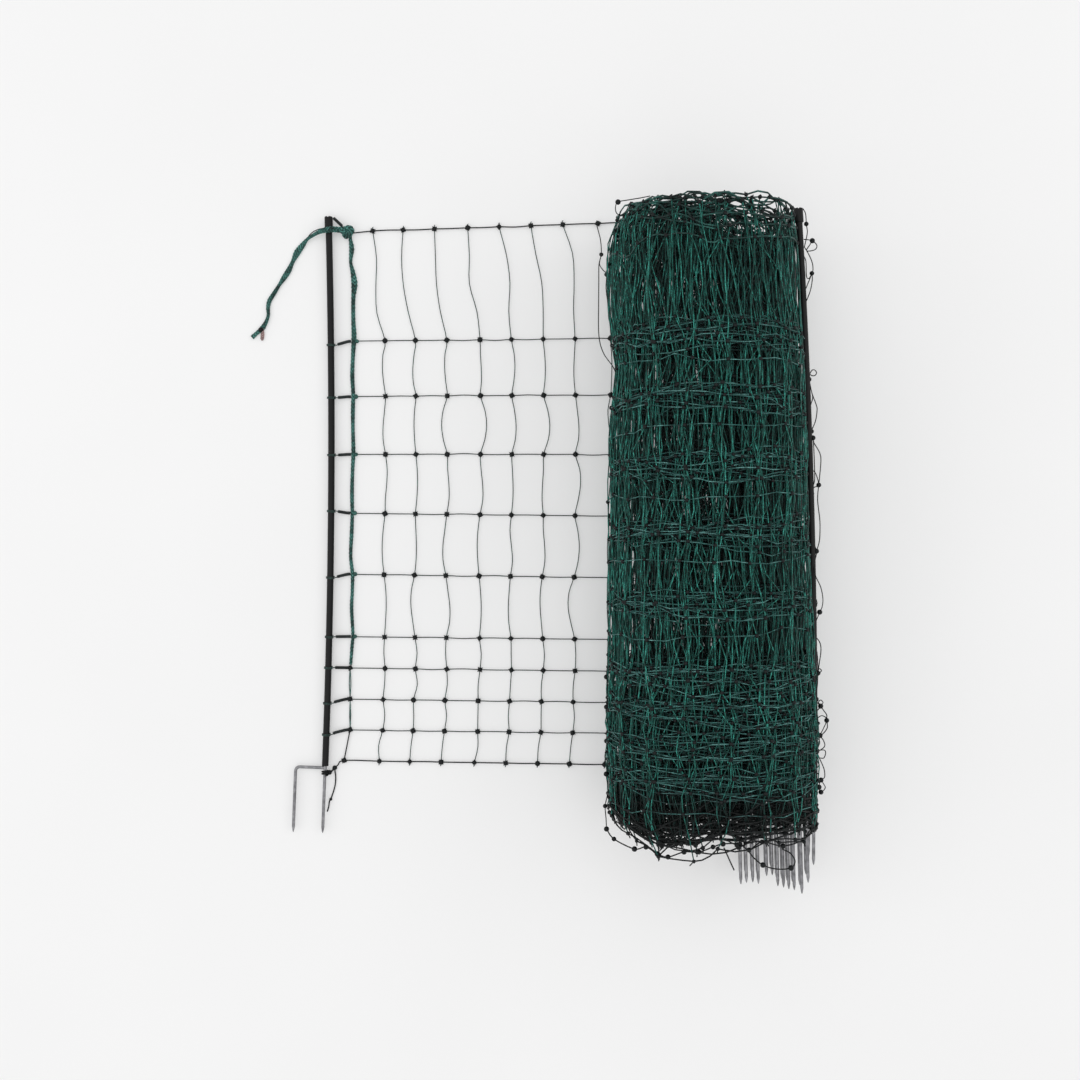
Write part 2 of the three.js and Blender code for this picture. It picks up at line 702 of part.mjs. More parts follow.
// The roll with a channel for each post in it, and one pocket in its foot round all the spikes
function netRoll(nest, sidePost) {
  const channel = solid(nestedPost(CLEAR));
  const room = spikeRoom();
  const capRoom = hole(POST.headRadius + CLEAR, -CAP.skirt - CLEAR, CAP.top + THROUGH, POST.sides);
  const head = postLine(POST.length);
  capRoom.rotateZ(HEAD_SLOPE).translate(head.x, head.y, head.z);
  const footRoom = hole(POST.radius + CLEAR, -CLEAR, THROUGH, POST.sides);
  const sideRoom = [solid(postRod(POST.radius + CLEAR)), solid(footRoom), solid(capRoom)];
  const rooms = nest.map(({ hand }) => room.transform(hand.matrixWorld.elements));
  const turned = room.rotate([0, SIDE_SPIKE_TURN, 0]);
  rooms.push(turned.transform(sidePost.matrixWorld.elements));
  const cuts = [wasm.Manifold.hull(rooms)];
  nest.forEach(({ hand }) => cuts.push(channel.transform(hand.matrixWorld.elements)));
  sideRoom.forEach((cut) => cuts.push(cut.transform(sidePost.matrixWorld.elements)));
  return shape(cuts.reduce((body, cut) => body.subtract(cut), rollForm(0, 0)));
}

const endPost = shownPostGroup("end", END_POST, 0);
const sidePost = shownPostGroup("side", SIDE_POST, SIDE_SPIKE_TURN);
sidePost.updateMatrixWorld(true);
const nest = NEST.map((row, i) => nestFrame(row, i % 2 === 1));

const assembly = new THREE.Group();
assembly.add(piece("net_roll", netRoll(nest, sidePost), NET_GREEN));
assembly.add(piece("loose_end", looseEnd(), NET_GREEN));
assembly.add(endPost, sidePost);
nest.forEach(({ group, hand }, i) => {
  const number = String(i + 1).padStart(2, "0");
  hand.add(piece("nested_post_" + number, boredPost(), BLACK));
  hand.add(piece("nested_spike_" + number, spike(5, 2), STEEL));
  assembly.add(group);
});
LINES.slice(1, -1).forEach((line, i) => {
  assembly.add(piece("line_tie_" + (i + 2), lineTie(line), BLACK));
});
assembly.add(piece("head_sleeve", headSleeve(), BLACK));
assembly.add(piece("edge_cord", edgeCord(), CORD_GREEN));
assembly.add(piece("tie_knot", tieKnot(), CORD_GREEN));
assembly.add(piece("foot_wrap", footWrap(), BLACK));
const freeCords = [
  piece("tie", tieEnd(TIE_ROUTE, 1), CORD_GREEN),
  piece("tie_strand", tieEnd(STRAND_ROUTE, TIE.strand), CORD_CORE),
  piece("foot_tail", footTail(), BLACK),
];

// The free cords are left out of the box on which the whole is centred.
assembly.updateMatrixWorld(true);
const box = new THREE.Box3().expandByObject(assembly, true);
const middle = box.getCenter(new THREE.Vector3());
assembly.add(...freeCords);
assembly.position.set(-middle.x, -middle.y, -box.min.z);

export default assembly;
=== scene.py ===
import math

import bmesh
import bpy
import numpy as np
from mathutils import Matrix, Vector


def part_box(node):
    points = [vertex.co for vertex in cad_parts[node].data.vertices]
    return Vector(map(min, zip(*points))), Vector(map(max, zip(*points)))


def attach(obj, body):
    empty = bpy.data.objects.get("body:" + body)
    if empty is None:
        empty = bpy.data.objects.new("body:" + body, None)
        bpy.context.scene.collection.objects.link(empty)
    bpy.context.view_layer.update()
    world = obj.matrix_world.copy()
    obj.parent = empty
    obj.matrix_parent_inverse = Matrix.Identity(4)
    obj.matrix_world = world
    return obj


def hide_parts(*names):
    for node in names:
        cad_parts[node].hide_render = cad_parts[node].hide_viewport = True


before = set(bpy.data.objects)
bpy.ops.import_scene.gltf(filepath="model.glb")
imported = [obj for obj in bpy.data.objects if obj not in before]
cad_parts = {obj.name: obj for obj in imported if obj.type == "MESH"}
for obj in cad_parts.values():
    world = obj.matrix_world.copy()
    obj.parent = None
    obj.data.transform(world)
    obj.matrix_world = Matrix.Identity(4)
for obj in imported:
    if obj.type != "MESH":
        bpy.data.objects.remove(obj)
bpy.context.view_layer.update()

# A wound roll of electric netting on the ground, its loose end spread out flat. Metres throughout.
# Places are measured from the foot of the end post, as the solids' own are, and ORIGIN carries them
# into the frame.

# slump: how far the knot and the end of the top line hang below the knot's place
TIE_KNOT = {"place": (0.0455, 1.1235, 0.0104), "slump": 0.003, "lobes": (0.0037, 0.0033, 0.0048),
            "width": 0.0060, "thick": 0.0048}
KNOT_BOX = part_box("tie_knot")
ORIGIN = np.array((KNOT_BOX[0] + KNOT_BOX[1]) / 2) - np.array(TIE_KNOT["place"])
CLEAR = 0.0004

# The camera hangs over the middle of the scene. SCALE is the size of a pixel on the ground.
CAMERA = {"x": 0.453, "y": 0.470, "height": 2.650}
IMAGE = 1080
SCALE = 0.002117
SENSOR = 0.036
# Lamps: name, place, size and power; the brightness of the sky, and where the floor lies
LAMPS = (("overhead", (-0.3, 0.4, 5.5), 6.0, 60), ("left_fill", (-4.4, 0.2, 2.6), 3.0, 26),
         ("right_fill", (4.4, 0.6, 2.6), 3.0, 22))
SKY = 0.86
FLOOR = {"size": 14, "z": -0.0003}

# Eleven lines, from the top: height above the bottom line, rise gained by the roll, sideways step of
# the knots, drop to the wrap on the post, lead inside the roll, and sway: how far the strands below
# each knot bow out, in millimetres
STRAIGHT = (0,) * 9
LINES = [dict(zip(("height", "rise", "step", "drop", "lead", "sway"), row)) for row in (
    (1.120, 0.016, -0.026, 0, -0.030, STRAIGHT),
    (0.890, 0.005, 0, 0.009, -0.033, (-6, -6, -5, 2, 7, 4, -3, 3, 0)),
    (0.773, 0.003, 0.001, 0.003, -0.034, (-5, -4, -12, 13, 9, 13, 7, -4, 0)),
    (0.651, 0, 0.001, 0.002, -0.040, (3, 4, 4, 5, 3, -2, 11, 4, 0)),
    (0.527, -0.005, 0, -0.004, -0.042, (-5, 3, -7, -5, 1, 4, 10, -5, 0)),
    (0.398, -0.006, -0.002, 0.007, -0.045, (4, -8, 8, 4, -5, -5, -13, 3, 0)),
    (0.266, -0.005, -0.001, 0, -0.046, (-2, 4, -2, 3, 0, 3, 2, -2, 0)),
    (0.200, -0.006, 0, -0.001, -0.047, (1, 6, 3, -2, 0, -2, -2, 2, 0)),
    (0.134, -0.006, -0.004, 0.008, -0.049, (4, 1, 4, 0, -2, 0, 3, 1, 0)),
    (0.069, -0.006, -0.005, 0.009, -0.051, (-5, -1, -1, 4, -2, -2, -1, 0, 0)),
    (0.004, -0.007, -0.012, 0, -0.060, STRAIGHT),
)]
LAST = len(LINES) - 1
PANEL_RUN = 0.478  # from the corner over which the lines' rise is measured
# wound: from the start of the winding to its first upright, left: bare end of the lines at its core
MESH = {"first": 0.055, "pitch": 0.0683, "columns": 9, "lie": 0.0032, "knot_lie": 0.0038, "wound": 0.023,
        "left": 0.05}
# Cells by their height: the least height, the pieces of a strand in the panel and in the roll, its slack
CELLS = ((0.18, 6, 6, 0.017), (0.10, 4, 3, 0.008), (0, 2, 2, 0.0048))
NUDGE = [2, -2, -4, -2, -4, -5, -6, 0, 0]  # millimetres that each column stands off its pitch
# Millimetres that the top strands of the first columns stand off straight: at 1/4, 1/2 and 3/4 down
TOP_BOWS = [(1.5, -6.4, -10.6), (-9.8, -12.5, -8.3), (-4.5, -8.7, -6.8), (-3, -9.5, 0), (9, 10, 1),
            (3.8, 9.8, 6.4), (14, 11, 3.4)]
SLACK_COLUMN = 7  # its top strand is the slack one beside the roll
# Radii of the strands, the lines, the outermost lines and the knots; tail: length of the ends that
# stand out of the outermost knots, end: their radius
TWINE = {"strand": 0.00090, "line": 0.00100, "rim": 0.0013, "knot": 0.0054, "tail": 0.0085, "end": 0.0021}
WOUND_TWINE = {"strand": 0.00115, "line": 0.00105, "rim": 0.0017, "knot": 0.0050, "end": 0.0011}
KNOT_ENDS = {"reach": 1.25, "cross": 1.6, "taper": (0.35, 1.3, 0.35)}  # strands drawn tight in a knot
THIN_EDGE = 0.0515  # edge of the net below the edge cord
DOUBLED = {"over": 0.004, "apart": (0.0009, 0.0018)}  # the two strands of that edge
CORNER = 0.0387  # lowest corner of the net
FOOT_LINE = [(0.0195, -0.0112), (0.026, -0.0055)]  # the bottom line's way from the foot wrap

POST = {"length": 1.152, "radius": 0.0069, "rim": 0.0087, "bow": 0.037}
CAP = {"skirt": 0.023, "top": 0.005, "round": 0.0016, "taper": 0.985, "notch": 0.003, "deep": 0.0044,
       "aside": 0.0006}
SPIKE = {"rod": 0.0033, "apart": 0.062, "prong": 0.142, "shank": 0.03, "bend": 0.009, "point": 0.012,
         "under": 0.001}
POINT = {"at": (0, 0.25, 1), "taper": (0.12, 0.5)}  # shares of the point's length, and of the rod there
END_POST = {"x": 0, "y": -0.006, "z": 0.0103, "lean": -2.2}
SIDE_POST = {"x": 0.995, "y": -0.031, "z": 0.173, "lean": -0.3}
SIDE_SPIKE_TURN = -93
NEST = {"lean": 1.5, "tilt": 8, "posts": 12}

ROLL = {"foot": -0.110, "head": 1.107, "height": 0.355, "flat": 0.005, "axis": 0.176, "inset": 0.002,
        "round": 2.4, "square": 4.4}
BESIDE = {"y": (0.10, 0.47), "gap": (-0.002, 0.0088)}  # how far the roll stays inside the side post
# Swells of its outline: size, waves round it, millimetres along it for a radian, phase
SWELLS = ((0.014, 3, 140, 0), (0.012, 2, -90, 1), (0.008, 5, 55, 0))
LEFT_SIDE = [(-0.110, 0.600), (-0.060, 0.586), (0.060, 0.583), (0.300, 0.586), (0.650, 0.588),
             (0.740, 0.592), (0.798, 0.600), (0.860, 0.593), (0.930, 0.584), (1.050, 0.584),
             (1.107, 0.603)]
WINDING = {"turns": 65, "steps": 96, "nip": -108, "core": 0.10, "crowding": 1.5, "measured": 0.5}
# The net slides along the roll from turn to turn: by how much at each length of it
SLIDE = {"run": (0, 0.25, 0.6, 1.25, 1.6, 2.3), "by": (0, -0.030, -0.058, -0.056, -0.020, 0),
         "drift": 0.020, "foot": 0.6}
# Lengths of net over which the roll takes over from the loose end: its lines, their drift, the knots'
# shear, and how far knots stand out of their turn. It starts at x from the end post
ENTRY = {"x": 0.67, "lines": 0.5, "drift": 1.2, "shear": 0.6, "out": 0.3}
# Lengths of the waves in which the net slides, its lines drift and its uprights shear
WAVES = {"slide": (3.1, 1.37, 0.83), "rows": (1.9, 0.77, 0.41), "shear": (2.3, 1.1, 0.6)}
ROOM = {"round": 0.0016, "below": 0.002}  # that the net leaves round a post and below its foot
# The hollow in the roll's head, the sag of its bottom line, the soft stop of its top line after so much
# of the net, and the painted shade inside its foot
HOLLOW = {"deep": 0.052, "x": 0.76, "wide": 0.10, "share": 0.80, "fade": 0.13}
SAG = {"deep": 0.026, "x": 0.69, "wide": 0.055}
HEAD_RIM = {"y": 1.100, "soft": 0.008, "from": 0.3}
FOOT_SHADE = {"size": 0.42, "y": 0.012, "fade": 0.05, "share": 0.985, "wide": 0.03}
# Slack of the knots in the roll: spread along each line's own course, and of single knots in u, y and out
ROW_SPREAD = {"head": 0.017, "inner": 0.009, "foot": 0.022}
LOOSE_KNOT = {"u": 0.007, "y": 0.0035, "out": 0.0016, "sunk": 0.001, "head_in": 0.004,
              "shear": 0.009, "head_shear": 0.036}
# Slack between knots: of strands and lines in the panel and in the roll, where one strand in ten is wild
PANEL_SLACK = {"curl": 0.0012, "sag": 0.0007}
WOUND_SLACK = {"wild": 0.1, "wilder": 2.6, "lift": 0.0026, "sag": 0.004, "rim_sag": 0.007,
               "line_lift": 0.002}
# The ends at the roll's outermost knots: share of the tail's length along the roll, lean and rise
WOUND_TAIL = {"head": 0.55, "foot": -1, "lean": 0.003, "out": 0.001}

# The edge cord's middle and width, in pixels of the view, from the corner knot down
EDGE_VIEW = [(350.2, 235, 4.4), (350.4, 239, 3.6), (351.7, 249, 5.4), (350.7, 262, 3.5), (353, 273, 5.2),
             (354.4, 284, 6.6), (353.5, 296, 4.7), (353.2, 308, 4.4), (353.4, 322, 4.5), (354, 337, 5.4),
             (352.9, 358, 4.2), (352.3, 376, 4.5), (353.2, 394, 4.1), (352.9, 411, 4.4), (352.9, 429, 3.9),
             (353.4, 452.5, 4.4), (352.5, 472, 3.8), (352, 495, 4.2), (352.3, 514, 3.7), (351.6, 534, 4.1),
             (350.7, 556, 3.6), (352.5, 574, 4.0), (352.3, 591, 3.5), (351.6, 609, 3.8), (352.9, 634, 3.4),
             (352, 647, 3.6), (350.7, 664.6, 3.2)]
EDGE_CORD = {"foot": 0.206, "thick": 0.0029, "uneven": 0.05, "waves": (900, 331)}
PLAIT = {"tie": 0.0062, "core": 0.0050, "edge": 0.0078}  # length of a plait along each braid
# How far the plaits slant back from the middle and are staggered across it, and the grooves between them
WEAVE = {"slant": 1.1, "stagger": 0.5, "sharp": 0.7, "groove": 0.16}
TIE = {"width": 0.0058, "thick": 0.0021, "turned": 0.45}
# Half widths in millimetres as the tie turns over, one for each place of its route
TIE_WIDTHS = [6.7, 6.7, 6.9, 6.0, 4.7, 3.9, 3.6, 6.4, 7.6, 4.5, 6.4, 6.2, 4.0, 4.9, 5.2, 4.5, 3.8, 4.4, 6.0,
              4.6, 5.2]
TIE_ROUTE = [(0.0332, 1.1226, 0.0146), (0.022, 1.1226, 0.020), (0.012, 1.122, 0.022),
             (-0.001, 1.120, 0.0216), (-0.014, 1.1166, 0.017), (-0.027, 1.1114, 0.0102),
             (-0.039, 1.1046, 0.0052), (-0.050, 1.092, 0.0029), (-0.061, 1.077, 0.0026),
             (-0.070, 1.058, 0.0026), (-0.0785, 1.040, 0.0026), (-0.088, 1.025, 0.0026),
             (-0.098, 1.0095, 0.0026), (-0.109, 0.992, 0.0026), (-0.119, 0.976, 0.0026),
             (-0.122, 0.961, 0.0026), (-0.1216, 0.9455, 0.0026), (-0.126, 0.9315, 0.0026),
             (-0.1346, 0.9175, 0.0026), (-0.145, 0.908, 0.0026), (-0.1558, 0.8982, 0.0026)]
STRAND_ROUTE = [(-0.1335, 0.9175, 0.0030), (-0.1338, 0.905, 0.0025), (-0.1350, 0.892, 0.0023)]
CORE_END = {"thick": 0.0020, "along": (0, 0.5, 0.85, 1), "widths": (0.0026, 0.0044, 0.0040, 0.0018)}
TAIL = {"radius": 0.0014, "knot": 5, "swell": (1.4, 2.1, 2.45, 2.1, 1.4)}
TAIL_ROUTE = [(0.0194, -0.0169, 0.0036), (0.0208, -0.031, 0.0022), (0.020, -0.046, 0.0017),
              (0.017, -0.059, 0.0017), (0.013, -0.071, 0.0017), (0.0106, -0.078, 0.0017),
              (0.0076, -0.0826, 0.0017), (0.006, -0.094, 0.0017), (0.003, -0.1046, 0.0017)]
WRAP = {"radius": 0.0011, "rise": 0.0024, "sleeve": 0.0032, "sleeve_end": 0.86, "foot": 0.0020,
        "foot_rise": -0.0044}
# A tie's link and its sleeve's start: off the post's side, share of the drop, share of the post's height
LINK = ((0.001, 0, 1), (0.005, 0, 0.95), (0.009, 0.25, 0.8))
SLEEVE_START = ((0.007, 0.2, 0.84), (0.012, 0.4, 0.62))
HEAD_TUBE = [(0.018, 1.1486, 0.011), (0.026, 1.141, 0.012), (0.0359, 1.1317, 0.0114)]
SPIKE_NECK = (-0.0004, -0.020, END_POST["z"])
FOOT_LINK = [(0.008, -0.021, 0.007), (0.013, -0.018, 0.0056), (0.019, -0.012, 0.004)]
HITCH = [(0.0086, -0.0205, 0.0074), (0.0192, -0.0114, 0.0042)]

# Loose strands beside the roll, in pixels of the view: right side and its knots, head, left side, foot
RIGHT_STRANDS = [
    [(803, 208.6), (805.6, 214), (806.3, 224), (807.3, 233), (804.4, 247)],
    [(803.7, 239.3), (812.3, 240.7), (816.9, 245.7), (814.4, 250), (806.6, 250.7), (810, 244.5),
     (812.3, 240.7)],
    [(804.4, 247), (808.7, 254.3), (812.3, 262.9), (813, 270), (811.9, 273.3), (812.3, 280),
     (810.1, 291.4), (805.9, 302.1)],
    [(803.7, 255.7), (805.9, 261.4), (806.3, 274.3), (807.3, 278.3), (809.5, 278), (811.9, 273.3),
     (805.9, 288.6)],
    [(809, 379.3), (809.5, 375), (812, 370.2), (815.2, 370.3), (816.5, 373.2), (814.6, 375.6),
     (811.5, 375.4), (809, 373)],
    [(806, 372), (809, 379.3), (811.9, 392.9), (816.1, 404.3), (817.1, 410), (815.4, 421.4),
     (811.4, 431.4), (812.9, 437.9), (814, 443)],
    [(811.9, 392.9), (812.6, 398.6), (809.7, 410), (810.4, 428.6), (811.4, 431.4)],
    [(814, 443), (819.7, 452.9), (820.9, 461.4), (819.4, 478.6), (818.7, 485), (817.6, 500),
     (819.7, 518.6), (820, 530), (819.3, 541.4), (816.4, 551.1), (814.3, 555.7), (811.4, 560.7)],
    [(813.4, 441), (814, 452.9), (814.7, 478.6), (812.6, 487)],
    [(807.6, 445.7), (811.1, 465.7), (810.4, 468.9), (815.4, 472.9), (818.7, 485), (814, 487.5),
     (811.9, 493.6)],
    [(811.1, 537.1), (816.4, 551.1), (814.6, 562.9), (815, 574.3), (820.7, 587.1), (822.9, 598.6),
     (822.1, 607.1), (819.7, 612.1), (814.3, 625.7)],
    [(812.1, 591.4), (817.1, 602.9), (813.6, 612.9), (819.7, 612.1)],
    [(812.9, 634.3), (819.3, 641.4), (821, 650), (819.3, 662.9), (817.9, 673.1)],
    [(813.6, 638.6), (817.1, 652.9), (817.9, 667.1), (817.9, 673.1), (821.4, 671), (819.6, 668.6),
     (817.5, 671)],
    [(817.9, 673.1), (817.4, 685), (816, 699.3), (820.6, 706.1), (824, 711), (826.7, 715),
     (826.7, 720.4), (827.4, 727.1), (824.6, 732), (820, 735.4), (816.7, 730), (816.4, 722.9),
     (818.1, 717.9), (822.4, 715.7), (826.7, 720.4), (820, 735.4)],
    [(820.6, 706.1), (823, 702.5), (820.5, 700), (818.5, 702.6), (820.6, 706.1), (815.3, 714.3),
     (814, 728)],
    [(820, 735.4), (823.9, 741.4), (824.6, 746.4), (820.3, 750), (817.1, 750.7), (823.9, 750),
     (825.6, 752.9), (823.9, 757.9), (820, 758)],
    [(818.5, 738.5), (819.6, 742.9), (817.1, 750.7), (818.5, 756), (823.9, 768.6), (824.6, 777.1),
     (821, 780), (818.9, 787.1), (821, 792.1), (825.2, 788), (823.4, 783.6), (821, 780)],
    [(818.9, 787.1), (815.5, 795), (814.6, 803.6), (816.5, 813), (814.3, 820.7), (808.9, 827)],
]
RIGHT_KNOTS = [(806.3, 224), (812.3, 240.7), (811.9, 273.3), (809, 379.3), (811.4, 431.4), (812.9, 437.9),
               (810.4, 468.9), (818.7, 485), (811.9, 493.6), (816.4, 551.1), (819.7, 612.1), (812.5, 599),
               (817.9, 673.1), (816, 699.3), (820.6, 706.1), (826.7, 720.4), (820, 735.4), (817.1, 750.7),
               (821, 780), (818.9, 787.1), (821, 792.1), (814.6, 803.6), (814.3, 820.7), (808.9, 827)]
TIE_THREAD = [(307.5, 238), (310, 234.5), (314, 231.3), (319, 229.2), (324, 228.2), (329, 227.6),
              (334, 228.4)]
HEAD_LOOP = [(650, 196), (640, 198), (628, 200), (618, 202), (615.5, 207), (616.5, 213), (621, 215),
             (626, 211), (629, 205)]
SLACK_STRAND = [(597, 226), (600.5, 240), (601.3, 254.5), (599, 264), (598.8, 282), (598.6, 305),
                (598.5, 328), (600, 343), (604.5, 355), (612.5, 366), (617, 375)]
SLACK_SIDE = [(601.3, 254.5), (599.5, 264), (603, 270), (606.5, 274.5), (606, 288), (608, 303), (612, 322)]
LEFT_EDGE = [(608, 660), (606.5, 677), (608.5, 692), (606.5, 707), (608.5, 724), (606.3, 741),
             (608.3, 757), (606.3, 774), (608, 790), (605.2, 806), (606, 818), (606.5, 829)]
FOOT_CHAIN = [(606.5, 829), (614, 839), (634.5, 849), (646, 847), (657.5, 854), (668, 857), (684, 852),
              (699, 852), (713, 847), (723, 844), (740, 844), (749, 850), (762, 842), (783, 846),
              (803, 840), (813, 830)]
FOOT_LOOP = [(747, 849), (754, 858), (763, 865), (776, 869), (791, 868), (795, 861), (790, 853),
             (782, 849)]
STRAY_TAIL = [(724, 848), (729, 859), (734, 870)]
SPLIT = (260.8, 329.6)  # where the tie's core comes out of its braid
# The single strands with the heights of their two ends, and which of their points are knots
SIDE_CHAINS = ((TIE_THREAD, (0.006, 0.026), ()), (HEAD_LOOP, (0.27, 0.23), (3,)),
               (SLACK_STRAND, (0.004, 0.19), (2,)), (SLACK_SIDE, (0.05, 0.20), (3,)),
               (LEFT_EDGE, (0.15, 0.16), (1, 3, 5, 7, 9)))
# scatter: of the right strands' heights; arch and its first and last angle: the foot chain's heights;
# loop and tail: heights of the foot's loop and of the tail from end to end
STRAY = {"radius": 0.0010, "scatter": 0.004, "arch": 0.165, "angles": (0.15, math.pi - 0.5),
         "loop": (0.326, 0.298), "tail": (0.339, 0.318, 0.296)}

random = np.random.default_rng(20)


# Helpers


def at(x, y, z):
    return np.array((x, y, z)) + ORIGIN


def seen(px, py, z):
    """The point at height z that the camera sees in a pixel."""
    size = SCALE * (1 - z / CAMERA["height"])
    x = (px - IMAGE / 2) * size + CAMERA["x"]
    y = (IMAGE / 2 - py) * size + CAMERA["y"]
    return np.array((x, y, z))


def smoothstep(t):
    t = np.clip(t, 0, 1)
    return t * t * (3 - 2 * t)


def smooth(points, parts):
    """A smooth line through the points, with so many parts from each to the next."""
    p = np.array(points, float)
    p = np.vstack((2 * p[0] - p[1], p, 2 * p[-1] - p[-2]))
    t = np.arange(parts)[:, None] / parts
    runs = []
    for a, b, c, d in zip(p, p[1:], p[2:], p[3:]):
        runs.append(b + (c - a) * t / 2 + (2 * a - 5 * b + 4 * c - d) * t**2 / 2
                    + (3 * b - a - 3 * c + d) * t**3 / 2)
    return np.vstack((*runs, p[-2][None]))


def painted_shade_depth(mesh):
    """Keeps how deep in the roll each point lies, 0 at its surface, and near its foot as if deep.
    The strands' materials paint shade from it: darker deeper in the roll and near its foot.
    """
    spots = np.empty(len(mesh.vertices) * 3, np.float32)
    mesh.vertices.foreach_get("co", spots)
    x, y, z = spots.reshape(-1, 3).T - ORIGIN[:, None]
    left, right = left_side(y), side_post_x(y)
    across = np.abs(x - (left + right) / 2) / ((right - left) / 2)
    above = np.abs(z - ROLL["axis"]) / (ROLL["height"] - ROLL["axis"])
    share = (across ** ROLL["round"] + above ** ROLL["round"]) ** (1 / ROLL["round"])
    # Painted shade near the roll's foot: there the strands count as deep, so they are painted darker
    foot = (FOOT_SHADE["size"] * smoothstep((FOOT_SHADE["y"] - y) / FOOT_SHADE["fade"])
            * smoothstep((FOOT_SHADE["share"] - share) / FOOT_SHADE["wide"]))
    kept = mesh.attributes.new("depth", "FLOAT", "POINT")
    kept.data.foreach_set("value", np.clip(1 - share + foot, 0, 1).astype(np.float32))
    return mesh


def show(name, mesh, material, replaced=()):
    piece = linked(bpy.data.objects.new(name, mesh))
    mesh.materials.clear()
    mesh.materials.append(material)
    mesh.polygons.foreach_set("use_smooth", [True] * len(mesh.polygons))
    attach(piece, "root")
    if replaced:
        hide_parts(*replaced)
    return piece


def linked(made):
    bpy.context.scene.collection.objects.link(made)
    return made


def evaluated(holder):
    """The mesh of an object with all that is set on it, and the object gone."""
    bpy.context.view_layer.update()
    made = bpy.data.meshes.new_from_object(holder.evaluated_get(bpy.context.evaluated_depsgraph_get()))
    bpy.data.objects.remove(holder)
    return made


def tubes(name, runs, radius, around, tapers=None):
    """The mesh of round strands along the runs, as thick as radius times each run's taper."""
    curve = bpy.data.curves.new(name, "CURVE")
    curve.dimensions = "3D"
    curve.bevel_depth = radius
    curve.bevel_resolution = around
    curve.use_fill_caps = True
    for i, run in enumerate(runs):
        spline = curve.splines.new("POLY")
        spline.points.add(len(run) - 1)
        spline.points.foreach_set("co", np.hstack((run, np.ones((len(run), 1)))).ravel())
        if tapers is not None:
            spline.points.foreach_set("radius", np.asarray(tapers[i], float))
    made = evaluated(linked(bpy.data.objects.new(name, curve)))
    bpy.data.curves.remove(curve)
    return made


def strands(name, runs, radius, around, material, replaced=(), tapers=None):
    return show(name, tubes(name, runs, radius, around, tapers), material, replaced)


def scattered(name, form, places, sizes, spins):
    """One mesh of copies of the form, each with its own place, size and turn about the upright."""
    corners = np.array([v.co for v in form.verts])
    faces = np.array([[v.index for v in face.verts] for face in form.faces])
    x, y, z = corners.T
    cos, sin = np.cos(spins)[:, None], np.sin(spins)[:, None]
    turned = np.stack((x * cos - y * sin, x * sin + y * cos, z + 0 * cos), 2)
    spots = turned * np.asarray(sizes)[:, None, None] + places[:, None, :]
    shift = np.arange(len(places))[:, None, None] * len(corners)
    mesh = bpy.data.meshes.new(name)
    mesh.from_pydata(spots.reshape(-1, 3), [], (faces[None] + shift).reshape(-1, faces.shape[1]))
    return mesh


def formed(name, form):
    """An object of the form, in the scene."""
    mesh = bpy.data.meshes.new(name)
    form.to_mesh(mesh)
    return linked(bpy.data.objects.new(name, mesh))


def lump(levels):
    """A small knot, a little wider than deep."""
    form = bmesh.new()
    bmesh.ops.create_icosphere(form, subdivisions=levels, radius=1)
    bmesh.ops.scale(form, vec=(1, 1, 0.8), verts=form.verts)
    form.verts.index_update()
    return form


def knots(name, places, size, spread, material, levels=2):
    """Knots of about the size at the places, each turned its own way."""
    sizes = size * random.uniform(*spread, len(places))
    spins = random.uniform(0, 6, len(places))
    show(name, scattered(name, lump(levels), places, sizes, spins), material)


# Finishes


def three(value):
    return (value,) * 3 if isinstance(value, (int, float)) else value


class Finish:
    """A material whose colour and relief come from noise on the object's own coordinates.
    Colours and scales may be single numbers."""

    def __init__(self, name, roughness, shine=0.5, metallic=0):
        self.material = bpy.data.materials.new(name)
        self.material.use_nodes = True
        self.tree = self.material.node_tree
        self.shader({"Roughness": roughness, "Specular IOR Level": shine, "Metallic": metallic})

    def feed(self, node, inputs):
        """Sets a node's inputs, each to a value or to another node's output."""
        for key, value in inputs.items():
            if isinstance(value, bpy.types.NodeSocket):
                self.tree.links.new(value, node.inputs[key])
            else:
                node.inputs[key].default_value = value

    def node(self, kind, output, inputs=(), **values):
        made = self.tree.nodes.new(kind)
        for key, value in values.items():
            setattr(made, key, value)
        self.feed(made, dict(inputs))
        return made.outputs[output]

    def shader(self, inputs):
        self.feed(self.tree.nodes["Principled BSDF"], inputs)

    def noise(self, stretch, scale, detail=3):
        coords = self.node("ShaderNodeTexCoord", "Object")
        mapped = self.node("ShaderNodeMapping", "Vector", {"Vector": coords, "Scale": three(stretch)})
        return self.node("ShaderNodeTexNoise", "Fac", {"Vector": mapped, "Scale": scale, "Detail": detail})

    def attribute(self, name):
        return self.node("ShaderNodeAttribute", "Fac", attribute_name=name)

    def ramp(self, source, stops):
        colour = self.node("ShaderNodeValToRGB", "Color", {"Fac": source})
        elements = colour.node.color_ramp.elements
        while len(elements) < len(stops):
            elements.new(0.5)
        for element, (place, shade) in zip(elements, stops):
            element.position = place
            element.color = (*three(shade), 1)
        return colour

    def paint(self, colour):
        self.shader({"Base Color": colour})

    def times(self, low, high):
        return self.node("ShaderNodeMix", "Result", {"Factor": 1, "A": low, "B": high},
                         data_type="RGBA", blend_type="MULTIPLY")

    def relief(self, height, distance, strength):
        inputs = {"Height": height, "Distance": distance, "Strength": strength}
        self.shader({"Normal": self.node("ShaderNodeBump", "Normal", inputs)})

    def roughen(self, source, low, high):
        inputs = {"Value": source, "To Min": low, "To Max": high}
        self.shader({"Roughness": self.node("ShaderNodeMapRange", "Result", inputs)})


